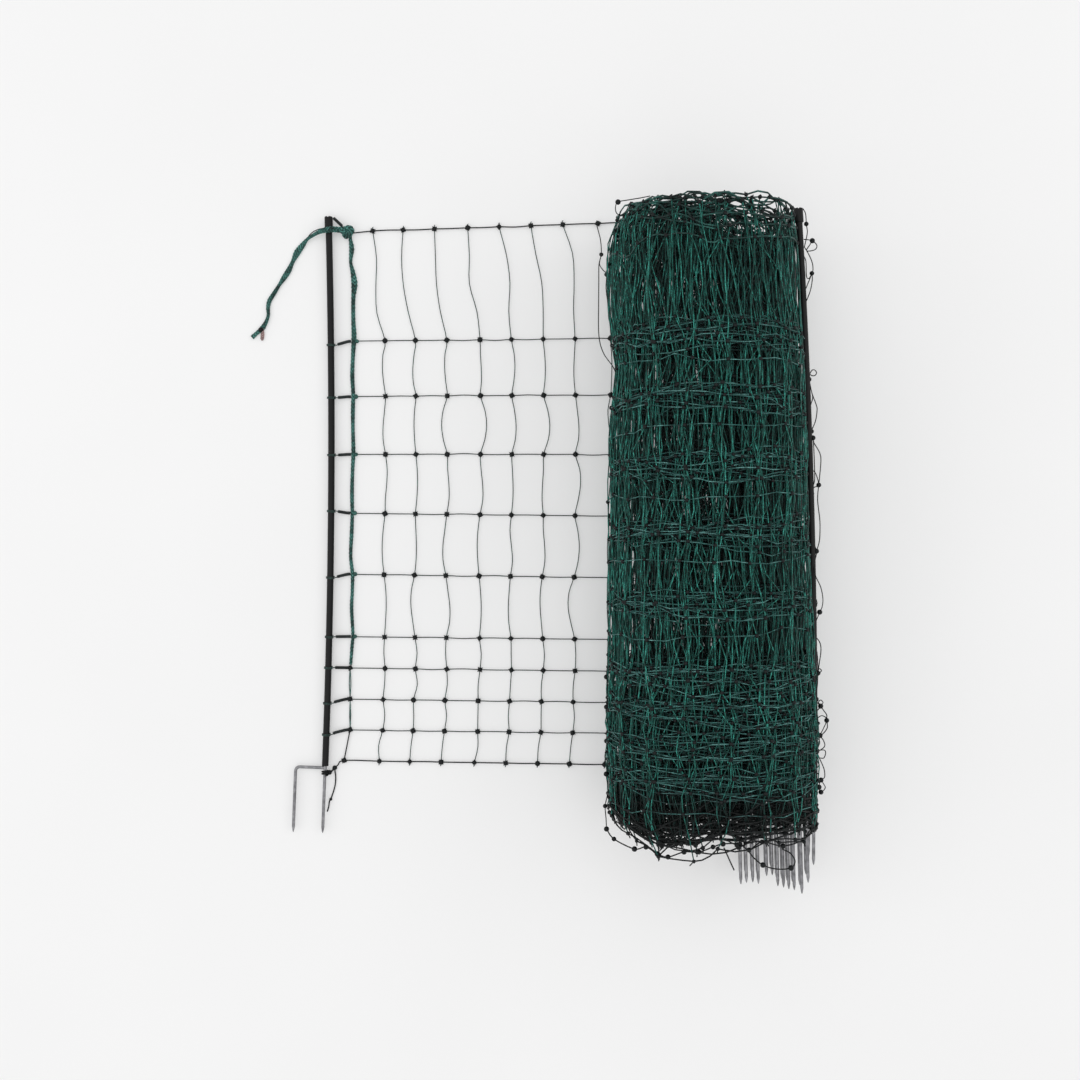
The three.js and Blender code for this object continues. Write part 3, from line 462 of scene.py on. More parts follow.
def twine(name, dark, middle, light, stretch, shine=0.5, paint_depth_shade=False):
    """Twisted plastic twine: each strand a little lighter or darker, fine twist in relief and in flecks
    that are partly painted glints, and where asked painted shade that darkens it deeper in the roll.
    """
    finish = Finish(name, 0.5, shine)
    strand = finish.noise(stretch, 1, 2)
    fine = finish.noise(1, 420, 2)
    base = finish.ramp(strand, [(0.32, dark), (0.50, middle), (0.68, light)])
    # Fine flecks of the twist, lightened up to 1.4 times: partly the twist, partly painted glints on its
    # plies
    twist_flecks_and_glints = finish.ramp(fine, [(0.35, 0.30), (0.65, 1.4)])
    colour = finish.times(base, twist_flecks_and_glints)
    # Painted shade: strands deeper in the roll and near its foot are darkened, as little light reaches them
    if paint_depth_shade:
        depth_shade_ramp = [(0.02, 1), (0.16, (0.5, 0.5, 0.52)), (0.40, (0.12, 0.12, 0.13))]
        colour = finish.times(colour, finish.ramp(finish.attribute("depth"), depth_shade_ramp))
    finish.paint(colour)
    finish.relief(fine, 0.0004, 0.7)
    return finish.material


def moulded(name, dark, light, scale):
    """Black moulded plastic, dusty in patches."""
    finish = Finish(name, 0.42, 0.22)
    cloud = finish.noise((1, 0.25, 1), scale, 4)
    grain = finish.noise(1, 900, 2)
    finish.paint(finish.ramp(cloud, [(0.35, dark), (0.72, light)]))
    finish.roughen(cloud, 0.34, 0.56)
    finish.relief(grain, 0.00025, 0.5)
    return finish.material


def galvanised(name):
    """Zinc-coated rod, dull, drawn lengthwise."""
    finish = Finish(name, 0.4, metallic=1)
    drawn = finish.noise((900, 25, 900), 1, 3)
    patch = finish.noise(1, 90, 4)
    tone = finish.ramp(patch, [(0.3, (0.19, 0.19, 0.20)), (0.7, (0.42, 0.42, 0.435))])
    streak = finish.ramp(drawn, [(0.35, 0.72), (0.7, 1)])
    finish.paint(finish.times(tone, streak))
    finish.roughen(patch, 0.32, 0.52)
    finish.relief(drawn, 0.0001, 0.4)
    return finish.material


def braided(name, groove, flank, ridge):
    """Braid: its plaits follow the plait attribute, with fibres in relief. Its colour holds painted shade
    in the grooves between plaits, a painted highlight on their ridges, and painted light and shade in
    patches.
    """
    finish = Finish(name, 0.62, 0.25)
    plait = finish.attribute("plait")
    fibre = finish.noise(1, 1600, 3)
    # Painted shade in the grooves between plaits and a painted highlight on their ridges
    base = finish.ramp(plait, [(0.05, groove), (0.45, flank), (0.95, ridge)])
    fleck = finish.ramp(fibre, [(0.38, 0.45), (0.62, 1.25)])
    # Painted light and shade in patches, as the braid turns to and from the light
    patch = finish.noise(1, 85, 4)
    patchy_light_and_shade = finish.ramp(patch, [(0.36, 0.32), (0.64, (1.7, 1.6, 1.6))])
    flecked = finish.times(base, fleck)
    finish.paint(finish.times(flecked, patchy_light_and_shade))
    finish.relief(fibre, 0.0005, 0.8)
    return finish.material


def backdrop(name):
    """A plain pale floor."""
    finish = Finish(name, 0.9)
    finish.shader({"Emission Color": (1, 1, 1, 1), "Emission Strength": 0.25})
    cloud = finish.noise(1, 1.5, 2)
    finish.paint(finish.ramp(cloud, [(0.3, 0.605), (0.7, 0.62)]))
    return finish.material


# The roll's uprights and lines carry painted shade deeper in the roll
UPRIGHT = twine("green_twine", (0.0005, 0.018, 0.014), (0.003, 0.082, 0.063), (0.040, 0.320, 0.255),
                (420, 9, 420), 0.3, True)
LINE = twine("line_twine", (0.004, 0.034, 0.031), (0.020, 0.105, 0.094), (0.12, 0.29, 0.27),
             (9, 420, 60), 0.35, True)
HEAD_LINE = twine("head_line_twine", (0.003, 0.010, 0.009), (0.009, 0.046, 0.039), (0.030, 0.130, 0.110),
                  30, 0.3)
RIM = twine("rim_twine", (0.003, 0.004, 0.004), (0.006, 0.008, 0.008), (0.014, 0.017, 0.017),
            60, 0.2)
PANEL_UPRIGHT = twine("panel_twine", (0.002, 0.014, 0.011), (0.004, 0.034, 0.027), (0.010, 0.070, 0.055),
                      90, 0.2)
PANEL_LINE = twine("panel_line_twine", (0.002, 0.008, 0.007), (0.004, 0.016, 0.014), (0.012, 0.045, 0.038),
                   90, 0.2)
EDGE_GREEN = twine("edge_twine", (0.004, 0.040, 0.032), (0.010, 0.080, 0.064), (0.030, 0.150, 0.122),
                   200)
LINE_WRAP = twine("wrap_twine", (0.004, 0.018, 0.015), (0.008, 0.032, 0.026), (0.016, 0.060, 0.048),
                  200)
KNOT = moulded("knot_plastic", (0.0012, 0.0024, 0.0028), (0.004, 0.0065, 0.007), 160)
POST_BLACK = moulded("post_plastic", (0.0022, 0.0022, 0.0025), (0.0065, 0.0065, 0.007), 22)
STEEL = galvanised("galvanised_rod")
BRAID = braided("braid_green", (0.0020, 0.016, 0.014), (0.010, 0.055, 0.046), (0.065, 0.205, 0.178))
CORE = braided("braid_core", (0.07, 0.045, 0.045), (0.17, 0.115, 0.110), (0.42, 0.31, 0.30))
SLEEVE = moulded("sleeve_plastic", (0.005, 0.007, 0.007), (0.020, 0.026, 0.026), 60)


# Camera, light and ground


def studio():
    camera = linked(bpy.data.objects.new("camera", bpy.data.cameras.new("camera")))
    camera.location = at(CAMERA["x"], CAMERA["y"], CAMERA["height"])
    camera.data.sensor_width = SENSOR * 1000
    camera.data.lens = 1000 * SENSOR / 2 * CAMERA["height"] / (IMAGE / 2 * SCALE)
    bpy.context.scene.camera = camera

    for name, spot, size, power in LAMPS:
        light = linked(bpy.data.objects.new(name, bpy.data.lights.new(name, "AREA")))
        light.location = spot
        light.data.size = size
        light.data.energy = power
        light.rotation_euler = (Vector((0.1, 0, 0)) - light.location).to_track_quat("-Z", "Y").to_euler()

    world = bpy.data.worlds.new("studio")
    world.use_nodes = True
    world.node_tree.nodes["Background"].inputs["Color"].default_value = (1, 1, 1, 1)
    world.node_tree.nodes["Background"].inputs["Strength"].default_value = SKY
    bpy.context.scene.world = world
    bpy.context.scene.view_settings.view_transform = "Standard"

    form = bmesh.new()
    bmesh.ops.create_grid(form, x_segments=4, y_segments=4, size=FLOOR["size"])
    bmesh.ops.translate(form, vec=(0, 0, FLOOR["z"]), verts=form.verts)
    ground = formed("ground", form)
    ground.data.materials.append(backdrop("pale_ground"))


# Braided cords


def braid(name, line, widths, thick, plait, closed=False, around=20):
    """A flat braid along the line: diagonal plaits that meet in its middle, kept as plait."""
    line = np.asarray(line)
    before, after = np.roll(line, 1, 0), np.roll(line, -1, 0)
    if not closed:
        before[0], after[-1] = line[0], line[-1]
    tangent = after - before
    tangent /= np.linalg.norm(tangent, axis=1)[:, None]
    side = np.cross(tangent, (0, 0, 1))
    side /= np.linalg.norm(side, axis=1)[:, None]
    over = np.cross(side, tangent)
    run = np.concatenate(([0], np.cumsum(np.linalg.norm(np.diff(line, axis=0), axis=1))))
    turn = np.linspace(0, 2 * math.pi, around, endpoint=False)
    across = np.cos(turn)
    phase = run[:, None] / plait + (WEAVE["slant"] * np.abs(across) + WEAVE["stagger"] * (across > 0))
    height = (0.5 + 0.5 * np.cos(2 * math.pi * phase)) ** WEAVE["sharp"]
    widths = np.broadcast_to(widths, len(line))[:, None]
    thick = np.broadcast_to(thick, len(line))[:, None]
    reach = 1 - WEAVE["groove"] * (1 - height)
    spots = (line[:, None] + side[:, None] * (widths * across * reach)[..., None]
             + over[:, None] * (thick * np.sin(turn) * reach)[..., None])
    rings = np.arange(len(line) * around).reshape(-1, around)
    ends = [] if closed else [rings[0].tolist(), rings[-1, ::-1].tolist()]
    if closed:
        rings = np.vstack((rings, rings[:1]))
    beside = np.roll(rings, -1, 1)
    faces = np.stack((rings[:-1], rings[1:], beside[1:], beside[:-1]), 2).reshape(-1, 4).tolist() + ends
    mesh = bpy.data.meshes.new(name)
    mesh.from_pydata(spots.reshape(-1, 3), [], faces)
    form = bmesh.new()
    form.from_mesh(mesh)
    bmesh.ops.recalc_face_normals(form, faces=form.faces)
    form.to_mesh(mesh)
    form.free()
    kept = mesh.attributes.new("plait", "FLOAT", "POINT")
    kept.data.foreach_set("value", height.astype(np.float32).ravel())
    return mesh


def tie():
    line = smooth(TIE_ROUTE, 12)
    widths = smooth([(wide / 1000, 0, 0) for wide in TIE_WIDTHS], 12)[:, 0]
    thick = TIE["thick"] + TIE["turned"] * np.maximum(TIE["width"] - widths, 0)
    line[:, 2] += thick - TIE["thick"]
    line += ORIGIN
    mesh = braid("tie_braid", line, widths, thick, PLAIT["tie"])
    piece = show("tie_braid", mesh, BRAID, ["tie"])
    short = smooth(STRAND_ROUTE, 10) + ORIGIN
    widths = np.interp(np.linspace(0, 1, len(short)), CORE_END["along"], CORE_END["widths"])
    mesh = braid("tie_core_end", short, widths, CORE_END["thick"], PLAIT["core"])
    core = show("tie_core_end", mesh, CORE, ["tie_strand"])


def foot_tail():
    line = smooth(TAIL_ROUTE, 6) + ORIGIN
    taper = np.ones(len(line))
    taper[TAIL["knot"] * 6 - 2:TAIL["knot"] * 6 + 3] = TAIL["swell"]
    line[:, 2] = np.maximum(line[:, 2], TAIL["radius"] * taper)
    piece = strands("foot_strand", [line], TAIL["radius"], 4, RIM, ["foot_tail"], tapers=[taper])


# Middle and half width of the edge cord, from its top to its foot
EDGE_MIDDLE = np.array([seen(px, py, EDGE_CORD["thick"]) for px, py, _ in EDGE_VIEW])
EDGE_HALF = np.array([wide * SCALE / 2 for _, _, wide in EDGE_VIEW])


def edge_cord():
    line = smooth(EDGE_MIDDLE + (0, 0, CLEAR), 24)
    widths = smooth(np.stack((EDGE_HALF, 0 * EDGE_HALF, 0 * EDGE_HALF), 1), 24)[:, 0]
    waves = [np.sin(line[:, 1] * wave) for wave in EDGE_CORD["waves"]]
    widths *= 1 + EDGE_CORD["uneven"] * waves[0] * waves[1]
    mesh = braid("edge_braid", line + ORIGIN, widths, EDGE_CORD["thick"], PLAIT["edge"])
    show("edge_braid", mesh, BRAID, ["edge_cord"])


def tie_knot():
    """An overhand knot of the same braid, drawn tight."""
    turn = np.linspace(0, 2 * math.pi, 150, endpoint=False)
    wide, tall, deep = TIE_KNOT["lobes"]
    loops = np.stack((wide * (np.sin(turn) + 2 * np.sin(2 * turn)),
                      tall * (np.cos(turn) - 2 * np.cos(2 * turn)) - TIE_KNOT["slump"],
                      -deep * np.sin(3 * turn)), 1)
    mesh = braid("corner_knot", loops + at(*TIE_KNOT["place"]), TIE_KNOT["width"], TIE_KNOT["thick"],
                 PLAIT["tie"], closed=True)
    show("corner_knot", mesh, BRAID, ["tie_knot"])


# Posts and spikes


def post_point(post, up):
    """A point on the middle of a bent post, at a distance up from its foot."""
    lean = math.radians(post["lean"])
    x = -POST["bow"] * (max(up, 0) / POST["length"]) ** 2
    return at(post["x"] + x * math.cos(lean) - up * math.sin(lean),
              post["y"] + x * math.sin(lean) + up * math.cos(lean), post["z"])


def upward(lean):
    """The direction up along a post that leans so many degrees."""
    lean = math.radians(lean)
    return np.array((-math.sin(lean), math.cos(lean), 0))


def post_rod(name, post, node):
    line = np.array([post_point(post, up) for up in np.linspace(0, POST["length"], 40)])
    strands(name, [line], POST["radius"], 12, POST_BLACK, [node])


def post_cap(name, post, node, spread=1.0):
    """A turned cap with a slot across its top for the line."""
    rim, skirt, top = POST["rim"] * spread, CAP["skirt"], CAP["top"]
    form = bmesh.new()
    bmesh.ops.create_cone(form, cap_ends=True, segments=40, radius1=rim, radius2=rim * CAP["taper"],
                          depth=skirt + top)
    rims = [e for e in form.edges if abs(e.verts[0].co.z - e.verts[1].co.z) < 1e-6]
    bmesh.ops.bevel(form, geom=rims, offset=CAP["round"], segments=3, profile=0.5,
                    affect="EDGES", material=-1)
    bmesh.ops.translate(form, vec=(0, 0, (top - skirt) / 2), verts=form.verts)
    turned = formed(name, form)
    slot = bmesh.new()
    bmesh.ops.create_cube(slot, size=1)
    bmesh.ops.scale(slot, vec=(CAP["notch"], 4 * rim, CAP["deep"]), verts=slot.verts)
    bmesh.ops.translate(slot, vec=(CAP["aside"], 0, top), verts=slot.verts)
    cutter = formed(name + "_slot", slot)
    cut = turned.modifiers.new("slot", "BOOLEAN")
    cut.object = cutter
    cut.operation = "DIFFERENCE"
    made = evaluated(turned)
    bpy.data.objects.remove(cutter)
    foot, head = post_point(post, POST["length"] - 0.02), post_point(post, POST["length"])
    placed = Vector(head - foot).to_track_quat("Z", "Y").to_matrix().to_4x4()
    placed.translation = Vector(head)
    made.transform(placed)
    show(name, made, POST_BLACK, [node])
    made.set_sharp_from_angle(angle=math.radians(35))


def double_spike(name, tip, lean, across, turned, node):
    """Two prongs, at tip and across from it. One runs on into the post, the other bends to its bar.
    It is the prong at tip that bends where the spike is turned."""
    up = upward(lean)
    across = np.asarray(across) / np.linalg.norm(across)
    far = tip + across * SPIKE["apart"]
    straight, bent, inward = (far, tip, across) if turned else (tip, far, -across)
    bar = SPIKE["prong"] - SPIKE["rod"] - SPIKE["under"]
    point = np.array(POINT["at"])[:, None] * up * SPIKE["point"]
    turn = np.linspace(0, math.pi / 2, 8)[:, None]
    bend = (bent + up * (bar - SPIKE["bend"] * (1 - np.sin(turn)))
            + inward * SPIKE["bend"] * (1 - np.cos(turn)))
    runs = [np.vstack((straight + point, straight + up * (SPIKE["prong"] + SPIKE["shank"]))),
            np.vstack((bent + point, bend, bent + inward * SPIKE["apart"] + up * bar))]
    tapers = [POINT["taper"] + (1,) * (len(run) - 2) for run in runs]
    strands(name, runs, SPIKE["rod"], 4, STEEL, [node], tapers)


def spikes():
    lean, turn = math.radians(END_POST["lean"]), math.radians(SIDE_SPIKE_TURN)
    for name, post, across, node in (
        ("end_prongs", END_POST, (-math.cos(lean), -math.sin(lean), 0), "end_spike"),
        ("side_prongs", SIDE_POST, (-math.cos(turn), 0, math.sin(turn)), "side_spike"),
    ):
        tip = post_point(post, 0) - upward(post["lean"]) * SPIKE["prong"]
        double_spike(name, tip, post["lean"], across, False, node)
    tilt = math.radians(NEST["tilt"])
    for i in range(1, NEST["posts"] + 1):
        node = "nested_spike_%02d" % i
        low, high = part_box(node)
        tip = np.array((high.x - SPIKE["rod"], low.y, low.z + SPIKE["rod"]))
        double_spike("nested_prongs_%02d" % i, tip, NEST["lean"], (-math.sin(tilt), 0, math.cos(tilt)),
                     i % 2 == 0, node)


# The loose end


def column_x(k, line):
    """x of the knot of column k on the line, the first column being 1."""
    return MESH["first"] + MESH["pitch"] * k + line["step"] + NUDGE[k - 1] / 1000


def line_y(line, x):
    return line["height"] + line["rise"] * x / PANEL_RUN


def edge_at(y):
    """Middle and half width of the edge cord at y."""
    rising = EDGE_MIDDLE[::-1]
    return np.interp(y, rising[:, 1], rising[:, 0]), np.interp(y, rising[:, 1], EDGE_HALF[::-1])


def line_start(line):
    """x of the line's end beside the edge cord."""
    if line["height"] < EDGE_CORD["foot"]:
        return THIN_EDGE
    x, wide = edge_at(line["height"])
    return x + wide + CLEAR


def cell(i):
    """Pieces of a strand in the panel and in the roll, and its slack, below line i."""
    gap = LINES[i]["height"] - LINES[i + 1]["height"]
    return next(row[1:] for row in CELLS if gap > row[0])


def panel_knots():
    """Places of the knots of the loose end, a list for each line."""
    rows = []
    for line in LINES:
        across = [column_x(k, line) for k in range(1, MESH["columns"] + 1)]
        rows.append([np.array((x, line_y(line, x), MESH["lie"])) for x in across])
    return rows


def panel_uprights(rows):
    runs = []
    for k in range(MESH["columns"]):
        tail = np.array((0.001, TWINE["tail"], 0.0008))
        spots = [rows[0][k] + tail, rows[0][k]]
        for i in range(LAST):
            above, below = rows[i][k], rows[i + 1][k]
            if i == 0 and k == SLACK_COLUMN:
                spots = []
            elif i == 0 and k < SLACK_COLUMN:
                for t, bow in zip((0.25, 0.5, 0.75), TOP_BOWS[k]):
                    spots.append(above + (below - above) * t + (bow / 1000, 0, 0))
            else:
                parts = cell(i)[0]
                curl = random.normal(0, PANEL_SLACK["curl"])
                for t in np.arange(1, parts) / parts:
                    bow = LINES[i]["sway"][k] / 1000 * math.sin(math.pi * t)
                    bow += curl * math.sin(2 * math.pi * t)
                    spots.append(above + (below - above) * t + (bow, 0, 0))
            spots.append(below)
        spots.append(rows[-1][k] - tail * (1, 1, -1))
        runs.append(smooth(spots, 3) + ORIGIN)
    return runs


def panel_line(i, row):
    line = LINES[i]
    if i == LAST:
        spots = [(*spot, z) for spot, z in zip(FOOT_LINE, (0.0042, MESH["lie"]))]
        spots.append((CORNER, line["height"], MESH["lie"]))
    else:
        x = line_start(line) if i else TIE_KNOT["place"][0] + 0.0098
        slump = 0 if i else TIE_KNOT["slump"]
        spots = [(x, line_y(line, x) - slump, MESH["lie"])]
    for before, after in zip([None, *row], row):
        if before is not None:
            spots.append((before + after) / 2 + (0, random.normal(0, PANEL_SLACK["sag"]), 0))
        spots.append(after)
    return smooth(spots, 3) + ORIGIN


def edge_strands():
    """The doubled strand that is the edge of the net below the edge cord, and its last stretch."""
    edge = [np.array((THIN_EDGE, LINES[i]["height"], MESH["lie"])) for i in (7, 8, 9)]
    doubled = []
    for side in (-1, 1):
        spots = [edge[0] + (0, DOUBLED["over"], 0)]
        for above, below in zip(edge, edge[1:]):
            spots += [above, (above + below) / 2 + (side * random.uniform(*DOUBLED["apart"]), 0, 0)]
        doubled.append(smooth([*spots, edge[-1]], 5) + ORIGIN)
    return doubled, smooth([edge[-1], (CORNER, LINES[-1]["height"], MESH["lie"])], 6) + ORIGIN


def loose_end(rows):
    uprights = panel_uprights(rows)
    strands("panel_uprights", uprights, TWINE["strand"], 2, PANEL_UPRIGHT, ["loose_end"])
    inner = [panel_line(i, rows[i]) for i in range(1, LAST)]
    strands("panel_lines", inner, TWINE["line"], 2, PANEL_LINE)
    outer = [panel_line(i, rows[i]) for i in (0, LAST)]
    doubled, corner = edge_strands()
    strands("edge_strands", doubled, TWINE["line"], 2, EDGE_GREEN)
    strands("panel_rims", [*outer, corner], TWINE["rim"], 3, RIM)
    edge = [(line_start(line) + 0.001, line["height"], MESH["lie"] + 0.0006) for line in LINES[1:8]]
    knots("edge_knots", np.array(edge) + ORIGIN, 0.85 * TWINE["knot"], (0.9, 1.15), EDGE_GREEN)
    places = [spot for row in rows for spot in row]
    places += [(THIN_EDGE, line["height"], MESH["lie"] + 0.001) for line in LINES[7:-1]]
    places.append((CORNER, LINES[-1]["height"], MESH["lie"]))
    places = np.array(places)
    places[:, 2] = np.maximum(places[:, 2], MESH["knot_lie"])
    knots("panel_knots", places + ORIGIN, TWINE["knot"], (0.92, 1.1), KNOT)
    cross = []
    for spot in places:
        for angle in random.uniform(0, math.pi, 1) + (0, KNOT_ENDS["cross"]):
            reach = TWINE["knot"] * KNOT_ENDS["reach"] * np.array((math.cos(angle), math.sin(angle), 0))
            cross.append(np.array((spot - reach, spot, spot + reach)) + ORIGIN)
    strands("panel_knot_ends", cross, TWINE["end"], 1, KNOT, tapers=[KNOT_ENDS["taper"]] * len(cross))


# Ties on the end post


def coil(middle, radius, turns, steps, start, rise):
    """Turns round a rod along y, each of them risen by rise."""
    angle = np.linspace(0, 2 * math.pi * turns, steps)
    return np.stack((middle[0] + radius * np.cos(angle), middle[1] + start + rise * angle / (2 * math.pi),
                     middle[2] + radius * np.sin(angle)), 1)


def line_tie(number, line):
    """Two turns round the post and a thin link into a sleeve that ends at the edge of the net."""
    drop, height = line["drop"], line["height"]
    y = height - drop
    up = (y - END_POST["y"]) / math.cos(math.radians(END_POST["lean"]))
    x, _, z = post_point(END_POST, up) - ORIGIN
    turns = coil((x, y, z), POST["radius"] + CLEAR + WRAP["radius"], 2, 49, -WRAP["rise"], WRAP["rise"])
    middle, wide = (THIN_EDGE, 0.0025) if height < EDGE_CORD["foot"] else edge_at(height)
    side = middle - wide
    root = x + POST["radius"] + CLEAR
    link, start = [[(root + out, y + drop * share, z * high) for out, share, high in part]
                   for part in (LINK, SLEEVE_START)]
    link = smooth(link, 5)
    sleeve = smooth([*start, (side - 0.008, height - drop * 0.1, 0.0044), (side, height, 0.0036)], 6)
    strands("line_tie_turns_%02d" % number, [turns + ORIGIN, link + ORIGIN], WRAP["radius"], 2,
            LINE_WRAP, ["line_tie_%d" % number])
    ends = np.ones(len(sleeve))
    ends[[0, -1]] = WRAP["sleeve_end"]
    strands("line_tie_sleeve_%02d" % number, [sleeve + ORIGIN], WRAP["sleeve"], 6, SLEEVE,
            tapers=[ends])


def head_sleeve():
    strands("head_tube", [smooth(HEAD_TUBE, 8) + ORIGIN], WRAP["sleeve"], 6, SLEEVE, ["head_sleeve"])


def foot_wrap():
    """Two turns round the neck of the spike, a hitch, and a link to the knot beside it."""
    turns = coil(SPIKE_NECK, SPIKE["rod"] + CLEAR + WRAP["foot"], 2.2, 56, 0.0036, WRAP["foot_rise"])
    link = smooth(FOOT_LINK, 6)
    strands("foot_turns", [turns + ORIGIN, link + ORIGIN], WRAP["foot"], 3, RIM, ["foot_wrap"])
    mesh = scattered("foot_knots", lump(2), HITCH + ORIGIN, [0.0054, 0.0052], np.array((0.3, 1.1)))
    show("foot_knots", mesh, KNOT)


# The wound net


def left_side(y):
    rows = np.array(LEFT_SIDE)
    i = np.clip(np.searchsorted(rows[:, 0], y), 1, len(rows) - 1)
    low, high = rows[i - 1], rows[i]
    t = smoothstep((y - low[..., 0]) / (high[..., 0] - low[..., 0]))
    return low[..., 1] + (high[..., 1] - low[..., 1]) * t


def side_post_x(y):
    up = np.clip(y - SIDE_POST["y"], -SPIKE["prong"], POST["length"])
    bow = np.where(up > 0, POST["bow"] * (up / POST["length"]) ** 2, 0)
    return SIDE_POST["x"] - up * math.tan(math.radians(SIDE_POST["lean"])) - bow


def outline(angle, y):
    """The roll's outline at y: places off the roll's axis, and the axis itself."""
    left, right = left_side(y), side_post_x(y) - np.interp(y, BESIDE["y"], BESIDE["gap"])
    cos, sin = np.cos(angle), np.sin(angle)
    low = sin < 0
    full = np.where(low & (cos > 0), ROLL["square"], ROLL["round"])
    x = np.sign(cos) * np.abs(cos) ** (2 / full) * ((right - left) / 2 - ROLL["inset"])
    rise = np.where(low, ROLL["axis"] + ROLL["flat"], ROLL["height"] - ROLL["axis"])
    swell = 1
    for size, waves, span, phase in SWELLS:
        swell = swell + size * np.sin(waves * angle + y * 1000 / span + phase)
    z = np.sign(sin) * np.abs(sin) ** (2 / full) * (rise - ROLL["inset"]) * swell
    return x, z, (left + right) / 2


def wind():
    """The spiral of the winding: its length so far, angle and share of the outline."""
    steps = WINDING["turns"] * WINDING["steps"]
    t = np.linspace(0, 1, steps)
    angle = math.radians(WINDING["nip"]) + 2 * math.pi * WINDING["turns"] * t
    share = 1 - (1 - WINDING["core"]) * t ** WINDING["crowding"]
    x, z, _ = outline(angle, np.full(steps, WINDING["measured"]))
    z = np.maximum(z, -ROLL["axis"])
    spot = np.stack((x, z), 1) * share[:, None]
    run = np.concatenate(([0], np.cumsum(np.linalg.norm(np.diff(spot, axis=0), axis=1))))
    return run, angle, share


RUN, ANGLE, SHARE = wind()


def wound(u, y, out):
    """Places in the frame of points that lie u along the winding, at y, and out of their turn."""
    angle, share = np.interp(u, RUN, ANGLE), np.interp(u, RUN, SHARE)
    x, z, axis = outline(angle, y)
    grown = share + out / np.hypot(x, z)
    spot = np.stack((axis + x * grown, y, ROLL["axis"] + z * grown), -1)
    spot[..., 2] = np.maximum(spot[..., 2], WOUND_TWINE["rim"])
    return pushed_aside(spot) + ORIGIN


def pushed_aside(spot):
    """Keeps strands out of the posts that lie in the roll and beside it."""
    clear = POST["radius"] + ROOM["round"]
    along = spot[..., 1].copy()
    posts = [(x - (along - y) * math.tan(lean), z, along > y - ROOM["below"])
             for x, z, lean, y in POST_LINES]
    for middle, height, inside in [*posts, (side_post_x(along), SIDE_POST["z"], True)]:
        dx, dz = spot[..., 0] - middle, spot[..., 2] - height
        far = np.hypot(dx, dz)
        grown = np.where((far < clear) & inside, clear / np.maximum(far, 1e-5), 1)
        spot[..., 0] = middle + dx * grown
        spot[..., 2] = height + dz * grown
    return spot


def post_lines():
    """x, z, lean and foot of each post inside the roll."""
    found = []
    for i in range(1, NEST["posts"] + 1):
        low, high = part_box("nested_post_%02d" % i)
        lean = math.radians(NEST["lean"])
        foot = high.x - ORIGIN[0] - POST["radius"]
        found.append((foot, (low.z + high.z) / 2, lean, low.y - ORIGIN[1]))
    return found


POST_LINES = post_lines()


def drift(u, spans, seed):
    """A slow irregular wave along the net, from about -1 to 1."""
    own = np.random.default_rng(seed)
    total = np.zeros_like(u)
    for span in spans:
        total += np.sin(2 * math.pi * u / span + own.uniform(0, 6.28)) / len(spans) ** 0.5
    return total


def slip(u):
    """How far the whole net has slid along the roll: the outermost turn hangs lowest."""
    start = np.interp(u, SLIDE["run"], SLIDE["by"])
    inner = smoothstep(u / ENTRY["drift"] - 1)
    return start + SLIDE["drift"] * drift(u, WAVES["slide"], 4) * inner


def across_end(u, y):
    """Where the net at u lies across the end of the roll at y, and its share of the outline."""
    x, _, axis = outline(np.interp(u, RUN, ANGLE), y)
    share = np.interp(u, RUN, SHARE)
    return axis + x * share, share


def head_hollow(u):
    """How far the head end is drawn in where the inner turns are loose, beside the side post."""
    x, share = across_end(u, ROLL["head"])
    near = smoothstep((x - HOLLOW["x"]) / HOLLOW["wide"])
    return HOLLOW["deep"] * near * (1 - smoothstep((share - HOLLOW["share"]) / HOLLOW["fade"]))


def foot_sag(u):
    """How far the bottom line hangs out further near the left side of the roll's foot."""
    x, _ = across_end(u, ROLL["foot"])
    return SAG["deep"] * np.exp(-((x - SAG["x"]) / SAG["wide"]) ** 2)


def row_y(i, u):
    """The course of line i along the net: its y at each u."""
    line = LINES[i]
    inside = smoothstep(u / ENTRY["lines"])
    start = line_y(line, ENTRY["x"]) * (1 - inside) + (line["height"] + line["lead"]) * inside
    start += slip(u) * (SLIDE["foot"] if i == LAST else 1)
    if i == 0:
        start -= head_hollow(u)
    if i == LAST:
        start -= foot_sag(u)
    spread = ROW_SPREAD["head" if i == 0 else "foot" if i == LAST else "inner"]
    place = start + spread * drift(u, WAVES["rows"], 30 + i) * smoothstep(u / ENTRY["drift"])
    over = np.maximum(place - HEAD_RIM["y"], 0)
    held = place - over + HEAD_RIM["soft"] * np.tanh(over / HEAD_RIM["soft"])
    return np.where(u > HEAD_RIM["from"], held, place)


def wound_knots():
    """u, y and out of every knot of the wound net, as arrays of columns and lines."""
    count = int((RUN[-1] - MESH["wound"] - MESH["left"]) / MESH["pitch"])
    u = MESH["wound"] + MESH["pitch"] * np.arange(count)
    found = []
    for i in range(len(LINES)):
        shear = LOOSE_KNOT["head_shear" if i == 0 else "shear"] * drift(u, WAVES["shear"], 60 + i)
        own = u + shear * smoothstep(u / ENTRY["shear"]) + random.normal(0, LOOSE_KNOT["u"], count)
        y = row_y(i, u) + random.normal(0, LOOSE_KNOT["y"], count)
        out = random.normal(0, LOOSE_KNOT["out"], count) - LOOSE_KNOT["sunk"]
        if i == 0:
            out -= LOOSE_KNOT["head_in"] * np.abs(random.normal(0, 1, count))
        found.append((np.maximum(own, 0), y, out * smoothstep(u / ENTRY["out"])))
    return [np.array(part).T for part in zip(*found)]


def line_knots(net, i):
    """u, y and out of the knots of line i, one row for each."""
    return np.stack([part[:, i] for part in net], 1)


